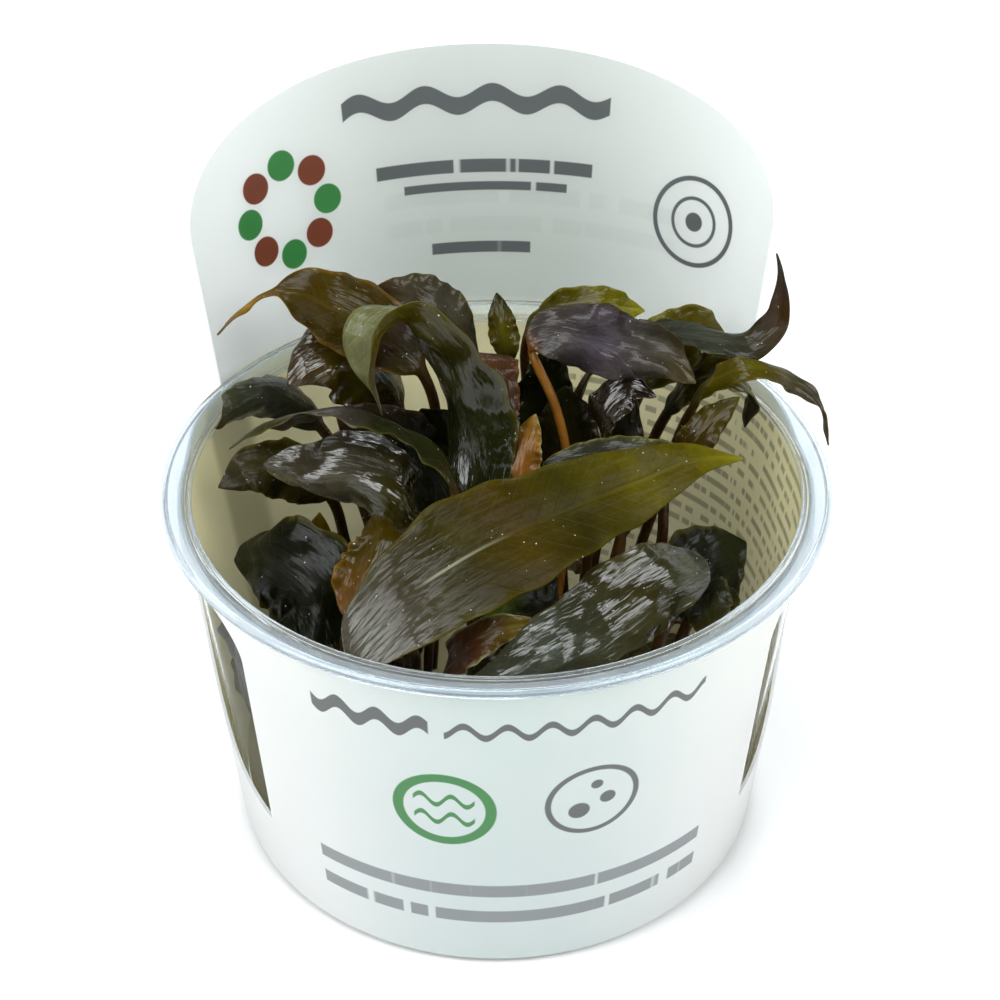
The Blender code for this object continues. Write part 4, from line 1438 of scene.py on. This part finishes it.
T = Tone
LEAVES = [
    # its base is painted pale grey, partly for a pale sheath and partly as a painted wet reflection
    Leaf("leaf_long_front", "left", 235, ((-23, -33, 38), (-21, -37, 50)),
         ((-20, -38, 56), (-15, -35, 62), (-4, -28, 67), (8, -20, 68), (20, -12, 68), (30, -6, 68),
          (37, -3, 66)), 17, (-0.2, 0.82, 0.5),
         (T.WET_GREY, T.GREY_BROWN, T.DARK_OLIVE, T.OLIVE_BROWN, T.DARK_OLIVE, T.OLIVE, T.OLIVE,
          T.YELLOW_GREEN), form=(0.5, 0.95), edge=T.OLIVE, under=T.OLIVE_BROWN, roll=(0.3, 0.15),
         crumple=0.25, rib=(0.2, 0.42), wet=(0.9, 0.35, 0.05, 0.02, 0.02, 0.05, 0.15)),
    Leaf("leaf_olive_fold", "left", 120, ((-21, -18, 34), (-22, -23, 46)),
         ((-21, -24, 52), (-19, -21, 58), (-17, -15, 61), (-18, -9, 60)), 10, (0.95, -0.1, 0.1),
         (T.ORANGE_BROWN, T.OLIVE_BROWN, T.OLIVE_BROWN), edge=T.AMBER, under=T.OLIVE_BROWN,
         crumple=1.1),
    Leaf("leaf_low_left", "left", 165, ((-25, -20, 34),),
         ((-24, -20, 42), (-28, -15, 50), (-34, -9, 51), (-41, -2, 46)), 18, (0.25, 0.6, 0.75),
         (T.BLACK_GREEN, T.BLACK_GREEN, T.BLACK_GREEN, T.DARK_GREEN), slot="leaf_dark",
         edge=T.OLIVE, crumple=1.4, wet=(0.15,)),
    Leaf("leaf_small_front", "left", 300, ((-11, -31, 38),),
         ((-8, -34, 47), (-6, -34, 53), (0, -33, 58), (6, -32, 59)), 6, (0.1, 0.6, 0.75),
         (T.BROWN, T.RED_BROWN, T.OLIVE), slot="leaf_brown", edge=T.PALE_GREEN),
    Leaf("leaf_wall_left", "left", 200, ((-27, -22, 20),),
         ((-33, -21, 22), (-37.5, -19, 30), (-38.8, -18, 40), (-39.6, -17, 51)), 15,
         (0.41, -0.91, 0), (T.DARK_OLIVE, T.OLIVE_BROWN, T.DARK_OLIVE), slot="leaf_dark",
         edge=T.OLIVE),
    Leaf("leaf_inner_front", "left", 335, ((-9, -24, 28),),
         ((-6, -25, 36), (1, -25, 42), (9, -24, 46)), 10, (-0.1, 0.7, 0.7),
         (T.DARK_BROWN, T.DARK_GREEN), slot="leaf_dark", edge=T.BROWN),
    Leaf("leaf_front_rim", "left", 268, ((-17, -30, 26),),
         ((-16, -33, 34), (-13, -37, 42), (-10, -38, 49)), 8, (0.9, -0.1, 0.3),
         (T.DARK_GREEN, T.DARK_OLIVE), slot="leaf_dark", edge=T.OLIVE_BROWN),
    Leaf("leaf_thin_left", "left", 80, ((-20, -12, 34),),
         ((-24, -9, 42), (-27, -6, 50), (-27, -3, 56)), 7, (0.9, 0.4, 0),
         (T.BROWN, T.OLIVE_BROWN), slot="leaf_brown", edge=T.AMBER),
    Leaf("leaf_hook", "middle", 190, ((-4, -3, 36),),
         ((-3, -2, 50), (-4, 2, 64), (-7, 6, 74), (-10.5, 8, 80), (-14, 9, 82.5), (-17.5, 7, 81.5),
          (-19, 4, 77), (-17, 1, 71)), 14, (0.9, -0.35, 0.2),
         (T.DARK_GREEN, T.DARK_GREEN, T.DARK_GREEN, T.DARK_OLIVE, T.OLIVE, T.PURPLE_GREY),
         (0.3, -0.85, 0.35), (0.5, 0.7), edge=T.OLIVE, under=T.SAGE, roll=(0.5, 0.9), crumple=1.9,
         wet=(0.9, 0.9, 0.5, 0.3)),
    Leaf("leaf_purple", "middle", 20, ((10, 2, 36), (11, 7, 60), (8, 11, 70)),
         ((5, 14, 75), (8, 14, 77), (13, 13, 77), (20, 13, 75), (26, 14, 73), (31, 13, 69)), 12,
         (0.1, 0.5, 0.85),
         (T.PURPLE_GREY, T.PURPLE_GREY, T.VIOLET, T.PURPLE_GREY, T.GREY_BROWN, T.OLIVE_BROWN),
         slot="leaf_purple", edge=T.OLIVE_BROWN, stem=T.ORANGE_BROWN, roll=(1.1, 0.3), crumple=1.6,
         ruffle=1.6, wet=(0.3,), stalk_half=0.75, stalk_thick=1.4),
    Leaf("leaf_brown_arch", "middle", 118, ((1, 8, 40), (0, 18, 60)),
         ((-1, 20, 68), (-1, 18, 71), (-1, 13, 71), (0, 9, 67), (1, 8, 60)), 9, (1, 0.1, 0),
         (T.RED_BROWN, T.RED_BROWN, T.BROWN), slot="leaf_brown", edge=T.ORANGE_BROWN,
         stem=T.RED_BROWN),
    Leaf("leaf_orange_tip", "middle", 270, ((3, -8, 38), (4, -5, 52)),
         ((4, -1, 58), (4, 2, 63), (6, 6, 68)), 6, (1, -0.1, 0),
         (T.ORANGE_BROWN, T.ORANGE_BROWN, T.AMBER), slot="leaf_brown", edge=T.PALE_GREEN,
         under=T.ORANGE_BROWN),
    Leaf("leaf_grey_middle", "middle", 330, ((9, -3, 36), (8, -2, 52)),
         ((7, 2, 59), (14, 3, 61), (23, 5, 61), (31, 7, 60)), 7, (0, 0.6, 0.8),
         (T.GREY_GREEN, T.GREY_GREEN, T.OLIVE), slot="leaf_dark", edge=T.YELLOW_GREEN),
    Leaf("leaf_dark_back", "middle", 86, ((5, 11, 40),),
         ((7, 19, 52), (8, 23, 61), (8, 24, 69)), 10, (1, 0.1, 0),
         (T.DARK_GREEN, T.BLACK_GREEN), slot="leaf_dark", edge=T.DARK_OLIVE),
    Leaf("leaf_inner_middle", "middle", 55, ((7, 6, 36),),
         ((9, 11, 48), (11, 15, 58), (11, 17, 66)), 12, (1, -0.1, 0),
         (T.DARK_BROWN, T.DARK_GREEN), slot="leaf_dark", edge=T.BROWN),
    Leaf("leaf_inner_left", "middle", 150, ((-4, 3, 36),),
         ((-8, 5, 47), (-13, 7, 56), (-19, 9, 62), (-25, 11, 65)), 17, (0.2, 0.6, 0.7),
         (T.DARK_GREEN, T.BLACK_GREEN, T.DARK_BROWN), slot="leaf_dark", edge=T.BROWN),
    Leaf("leaf_twisted_tip", "back_left", 60, ((-11, 20, 45), (-10, 21, 60)),
         ((-12, 20, 67), (-18, 20, 74), (-26, 19, 79.5), (-32, 20, 81.5), (-36, 19, 81.5),
          (-39.5, 17, 79.5), (-43, 15, 76.5)), 12.5, (0.25, 0.65, 0.7),
         (T.DARK_OLIVE, T.DARK_BROWN, T.OLIVE_BROWN, T.OLIVE_BROWN, T.OLIVE_BROWN, T.AMBER,
          T.GREY_GREEN), (0.2, 0.2, 0.95), (0.6, 0.6), slot="leaf_brown", edge=T.AMBER,
         under=T.OLIVE_BROWN, tail=(0.7, 0.13), twist=140.0, roll=(0.5, 0.3), wet=(0.2,)),
    Leaf("leaf_brown_left", "back_left", 90, ((-15, 22, 45),),
         ((-16, 23, 58), (-20, 22, 66), (-25, 20, 70), (-30, 18, 69), (-33, 17, 66)), 15,
         (0.1, 0.55, 0.8), (T.DARK_BROWN, T.DARK_OLIVE, T.OLIVE_BROWN, T.BROWN), slot="leaf_brown",
         edge=T.BROWN, under=T.BROWN, roll=(0.5, 0.7), crumple=1.1, wet=(1.0,)),
    Leaf("leaf_far_left", "back_left", 128, ((-23, 22, 40),),
         ((-29, 23, 54), (-33, 20, 61), (-38, 14, 65), (-43, 5, 66)), 9, (0.2, 0.55, 0.8),
         (T.DARK_GREEN, T.GREY_GREEN, T.GREY_GREEN, T.DARK_OLIVE), slot="leaf_dark", edge=T.OLIVE,
         roll=(1.2, 1.2), crumple=0.6, wet=(0.8,)),
    Leaf("leaf_olive_left", "back_left", 165, ((-25, 14, 36),),
         ((-27, 12, 48), (-32, 9, 55), (-38, 5, 58), (-43, 2, 57)), 10, (0.2, 0.6, 0.75),
         (T.OLIVE_BROWN, T.DARK_OLIVE, T.GREY_BROWN), edge=T.OLIVE, crumple=1.3, wet=(0.15,)),
    Leaf("leaf_long_arch", "back_left", 330, ((-6, -6, 40), (-6, -8, 54)),
         ((-6, -7, 62), (-8, -4, 67), (-14, 0, 69.5), (-20, 1, 72), (-27, 0, 73), (-34, -1, 71),
          (-40, -2, 67)), 7.5, (0.1, 0.85, -0.5),
         (T.DARK_OLIVE, T.DARK_GREEN, T.DARK_GREEN, T.PURPLE_GREY, T.DARK_OLIVE, T.GREY_GREEN),
         edge=T.OLIVE, roll=(0.6, 0.6)),
    Leaf("leaf_draped_left", "back_left", 280, ((-15, 4, 34), (-14, -2, 46)),
         ((-12, -4, 54), (-15, -5, 60), (-21, -3, 62.5), (-28, -1, 62), (-36, 4, 60)), 15,
         (0.0, 0.6, 0.75), (T.DARK_OLIVE, T.DARK_OLIVE, T.GREY_BROWN, T.GREY_BROWN, T.GREY_BROWN),
         slot="leaf_dark", edge=T.GREY_BROWN, roll=(1.8, 0.5), crumple=1.3, ruffle=1.5, wet=(1.0,)),
    Leaf("leaf_back_left", "back", 145, ((-4, 31, 36), (-4, 29, 58)),
         ((-4, 28, 67), (-8, 27, 72), (-14, 27, 76), (-20, 28, 77)), 11, (0.1, 0.5, 0.85),
         (T.DARK_OLIVE, T.GREY_BROWN, T.GREY_BROWN, T.BROWN), slot="leaf_dark", edge=T.OLIVE),
    Leaf("leaf_inner_back", "back_left", 0, ((-9, 12, 36),),
         ((-8, 12, 46), (-8, 14, 55), (-12, 15, 63)), 14, (1, 0.1, 0),
         (T.DARK_GREEN, T.BLACK_GREEN), slot="leaf_dark", edge=T.DARK_OLIVE),
    Leaf("leaf_back_tip", "back", 270, ((1, 24, 36), (2, 23, 58)),
         ((2, 24, 66), (1, 26, 71), (0, 29, 76)), 5, (1, 0, 0.1),
         (T.DARK_OLIVE, T.OLIVE, T.DARK_GREEN), edge=T.OLIVE),
    Leaf("leaf_back_long", "back", 40, ((5, 31, 36), (5, 30, 58)),
         ((5, 30, 67), (11, 29, 72), (18, 28, 74), (24, 30, 72)), 8, (0, 0.5, 0.85),
         (T.DARK_OLIVE, T.OLIVE, T.YELLOW_GREEN), edge=T.YELLOW_GREEN),
    Leaf("leaf_back_olive", "back_right", 102, ((19, 24, 40),),
         ((24, 26, 60), (28, 26, 68), (32, 26, 71), (37, 28, 69)), 11, (0, 0.5, 0.85),
         (T.DARK_OLIVE, T.OLIVE, T.OLIVE), edge=T.YELLOW_GREEN),
    Leaf("leaf_right_hook", "back_right", 190, ((11, 17, 45),),
         ((13, 20, 62), (18, 20, 71), (26, 20, 74), (34, 20, 73), (40, 20, 72), (44, 21, 76),
          (44, 22, 83), (43, 22, 87)), 8, (0, 0.9, -0.25),
         (T.DARK_OLIVE, T.GREY_GREEN, T.DARK_GREEN, T.GREY_GREEN, T.BROWN, T.PURPLE_GREY),
         (-0.6, 0.6, 0.5), slot="leaf_dark", edge=T.DARK_OLIVE, tail=(0.88, 0.3), roll=(0.6, 0.6)),
    Leaf("leaf_over_rim", "back_right", 35, ((26, 18, 40),),
         ((31, 18, 60), (33, 16, 66), (35, 12.5, 71), (38, 11, 73), (42, 12, 72), (47, 13, 69),
          (51, 11, 65), (52, 9, 60)), 4.5, (0.1, 0.6, 0.75),
         (T.DARK_OLIVE, T.OLIVE, T.OLIVE, T.GREY_BROWN, T.DARK_OLIVE), (-0.2, 0.9, 0.4),
         slot="leaf_brown", edge=T.AMBER, roll=(0.7, 0.7)),
    Leaf("leaf_right_lobe", "back_right", 69, ((23, 22, 40),),
         ((28, 24, 56), (33, 23, 64), (37, 20, 66), (40, 18, 64), (40, 17, 58)), 8,
         (-0.3, 0.9, 0.2), (T.DARK_OLIVE, T.OLIVE, T.OLIVE), edge=T.YELLOW_GREEN),
    Leaf("leaf_right_olive", "back_right", 333, ((27, 11, 38),),
         ((28, 11, 54), (31, 11, 59), (34, 12, 63), (38, 13, 66.5)), 6, (-0.3, 0.45, 0.8),
         (T.DARK_BROWN, T.OLIVE_BROWN, T.OLIVE), edge=T.OLIVE),
    Leaf("leaf_dark_curl", "back_right", 238, ((15, 9, 40),),
         ((17, 10, 56), (17, 12, 65), (21, 13, 68.5), (25, 13, 66.5)), 8, (-0.1, 0.7, 0.6),
         (T.BLACK_GREEN, T.DARK_BROWN, T.DARK_BROWN), slot="leaf_dark", edge=T.DARK_OLIVE,
         wet=(1.0,)),
    Leaf("leaf_inner_right", "back_right", 271, ((19, 5, 34),),
         ((20, 7, 43), (21, 13, 52), (21, 17, 60), (21, 18, 66)), 7, (0.9, 0.1, 0),
         (T.DARK_BROWN, T.BLACK_GREEN), slot="leaf_dark", edge=T.BROWN),
    Leaf("leaf_grey_front", "right", 200, ((8, -26, 30), (-2, -35, 42)),
         ((-5, -39, 50), (4, -38, 56), (14, -32, 58), (23, -24, 59), (31, -15, 56)), 14,
         (-0.5, 0.6, 0.6), (T.GREY_GREEN, T.GREY_GREEN, T.DARK_OLIVE, T.GREY_GREEN),
         form=(0.9, 0.55), slot="leaf_dark", edge=T.OLIVE_BROWN, crumple=1.3, ruffle=1.3,
         fold=-0.12, roll=(0.9, 0.4), wet=(0.7, 1.0)),
    Leaf("leaf_small_right", "right", 357, ((26, -17, 34),),
         ((30, -12, 44), (31, -16, 50), (31, -22, 51.5), (31, -28, 50.5)), 8, (0.8, 0.45, 0.3),
         (T.BLACK_GREEN, T.DARK_GREEN, T.DARK_OLIVE), edge=T.OLIVE),
    Leaf("leaf_low_right", "right", 40, ((24, -11, 30),),
         ((27, -6, 37), (33, -1, 43), (40, 5, 44)), 16, (-0.3, 0.6, 0.7),
         (T.BLACK_GREEN, T.BLACK_GREEN, T.DARK_GREEN), edge=T.OLIVE, crumple=1.2, wet=(0.2,)),
    Leaf("leaf_wall_right", "right", 318, ((27, -24, 20),),
         ((32.5, -25, 23), (34.6, -25.4, 31), (35.6, -25.6, 40), (36, -25.8, 47)), 13,
         (0.55, 0.83, 0), (T.DARK_OLIVE, T.OLIVE_BROWN, T.BROWN), slot="leaf_dark",
         edge=T.OLIVE),
    Leaf("leaf_inner_centre", "right", 130, ((10, -12, 34),),
         ((8, -14, 42), (4, -18, 49), (-2, -23, 53)), 15, (0.5, 0.6, 0.6),
         (T.BLACK_GREEN, T.DARK_GREEN, T.BRIGHT_GREEN), slot="leaf_dark", edge=T.DARK_OLIVE),
    low_leaf("leaf_low_1", "left", 40, 16, 27, 11, (T.DARK_GREEN, T.DARK_OLIVE), "leaf_dark"),
    low_leaf("leaf_low_2", "left", 5, 15, 22, 9, (T.OLIVE_BROWN, T.OLIVE), "leaf_olive"),
    low_leaf("leaf_low_3", "back_left", 235, 20, 27, 12, (T.DARK_GREEN, T.DARK_OLIVE), "leaf_dark"),
    low_leaf("leaf_low_4", "back_left", 198, 20, 31, 10, (T.OLIVE_BROWN, T.OLIVE), "leaf_olive"),
    low_leaf("leaf_low_5", "back_right", 302, 22, 25, 12, (T.DARK_GREEN, T.DARK_OLIVE),
             "leaf_dark"),
    low_leaf("leaf_low_6", "back_right", 4, 18, 24, 10, (T.OLIVE_BROWN, T.OLIVE), "leaf_olive"),
    low_leaf("leaf_low_7", "right", 88, 15, 27, 10, (T.DARK_GREEN, T.DARK_OLIVE), "leaf_dark"),
    low_leaf("leaf_low_8", "right", 284, 14, 25, 9, (T.BROWN, T.RED_BROWN), "leaf_brown"),
    low_leaf("leaf_low_9", "right", 165, 15, 29, 10, (T.DARK_GREEN, T.DARK_OLIVE), "leaf_dark"),
    low_leaf("leaf_low_10", "back", 350, 18, 24, 9, (T.BROWN, T.RED_BROWN), "leaf_brown"),
    low_leaf("leaf_low_11", "back", 187, 24, 27, 12, (T.DARK_GREEN, T.DARK_OLIVE), "leaf_dark"),
]


@dataclass
class Plantlets:
    """The crowns and all their leaves."""

    leaves: list[Leaf] = field(default_factory=lambda: LEAVES)

    def build(self) -> list[bpy.types.Object]:
        """Return every crown and leaf.

        Returns:
            The pieces, crowns first.
        """
        bark = crown_material()
        faces = [leaf_material(UPPER), leaf_material(UNDER)]
        crowns = [Crown(habit.node, habit.x, habit.y).build(bark) for habit in CROWNS.values()]
        return crowns + [leaf.build(faces) for leaf in self.leaves]


class Lamp(NamedTuple):
    """One soft square light."""

    name: str
    place: Point             # in metres
    width: float             # of its side, in metres
    radiance: float          # of its face, where white paper in full light is 1


LAMPS = (
    Lamp("softbox_top", (-0.12, 0.0, 0.80), 0.34, 7.5),
    Lamp("softbox_left", (-0.42, -0.30, 0.55), 0.46, 5.9),
    Lamp("softbox_right", (0.45, -0.30, 0.57), 0.46, 5.9),
    Lamp("softbox_back", (0.10, 0.75, 0.50), 0.42, 6.0),
)


@dataclass
class Studio:
    """The pale floor, the soft lights and the camera."""

    focal: float = 64.8
    sensor: float = 36.0
    target: Point = (0.00055, 0.0, 0.0561)
    distance: float = 0.277
    elevation: float = 36.5
    wall: float = 1.1
    ceiling: float = 0.06
    floor_radius: float = 0.55
    horizon: tuple[float, float] = (0.12, 0.40)     # where the walls end and the ceiling starts
    tint: Colour = (0.96, 0.99, 1.0)
    floor_grey: float = 0.95
    clip_start: float = 0.01

    def hang(self, lamp: Lamp) -> None:
        """Hang one light, aimed at the cup.

        Args:
            lamp: The light.
        """
        deselect()
        bpy.ops.object.light_add(type="AREA", location=lamp.place)
        light = bpy.context.object
        light.name = lamp.name
        light.data.shape = "SQUARE"
        light.data.size = lamp.width
        light.data.energy = lamp.radiance * math.pi * lamp.width**2
        light.data.color = self.tint
        aim = Vector(self.target) - Vector(lamp.place)
        light.rotation_euler = aim.to_track_quat("-Z", "Y").to_euler()

    def surround(self) -> None:
        """Make the world: pale walls to just above the horizon, and a dim ceiling."""
        world = bpy.data.worlds.new("studio")
        world.use_nodes = True
        tree = world.node_tree
        direction = tree.nodes.new("ShaderNodeTexCoord")
        parts = tree.nodes.new("ShaderNodeSeparateXYZ")
        fall = tree.nodes.new("ShaderNodeMapRange")
        fall.interpolation_type = "SMOOTHSTEP"
        fall.inputs["From Min"].default_value = self.horizon[0]
        fall.inputs["From Max"].default_value = self.horizon[1]
        fall.inputs["To Min"].default_value = self.wall
        fall.inputs["To Max"].default_value = self.ceiling
        tree.links.new(direction.outputs["Generated"], parts.inputs[0])
        tree.links.new(parts.outputs["Z"], fall.inputs["Value"])
        tree.links.new(fall.outputs["Result"], tree.nodes["Background"].inputs["Strength"])
        tree.nodes["Background"].inputs["Color"].default_value = (*self.tint, 1.0)
        bpy.context.scene.world = world

    def build(self) -> None:
        """Set the stage."""
        deselect()
        bpy.ops.mesh.primitive_circle_add(vertices=96, radius=self.floor_radius, fill_type="NGON")
        floor = bpy.context.object
        floor.name = "floor"
        graph = Graph("pale_floor")
        floor.data.materials.append(graph.close(graph.surface(
            Base_Color=(*(self.floor_grey,) * 3, 1.0), Roughness=0.7)))

        self.surround()
        bpy.context.scene.view_settings.view_transform = "Standard"
        for lamp in LAMPS:
            self.hang(lamp)

        tilt = math.radians(self.elevation)
        deselect()
        back = Vector((0.0, -math.cos(tilt), math.sin(tilt)))
        bpy.ops.object.camera_add(
            location=Vector(self.target) + self.distance * back,
            rotation=Euler((math.pi / 2 - tilt, 0.0, 0.0)))
        camera = bpy.context.object
        camera.name = "camera"
        camera.data.sensor_width = self.sensor
        camera.data.lens = self.focal
        camera.data.clip_start = self.clip_start
        bpy.context.scene.camera = camera


def main() -> None:
    """Build the cup, the sleeve, the jelly and the plantlets, and log each piece."""
    logging.basicConfig(level=logging.INFO, format="%(message)s")
    Studio().build()
    cup = Cup()
    for assembly in (cup, Jelly(cup), Sleeve(cup), Plantlets()):
        for piece in assembly.build():
            LOG.info("%s: %d faces", piece.name, len(piece.data.polygons))
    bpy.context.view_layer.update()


if __name__ == "__main__":
    main()
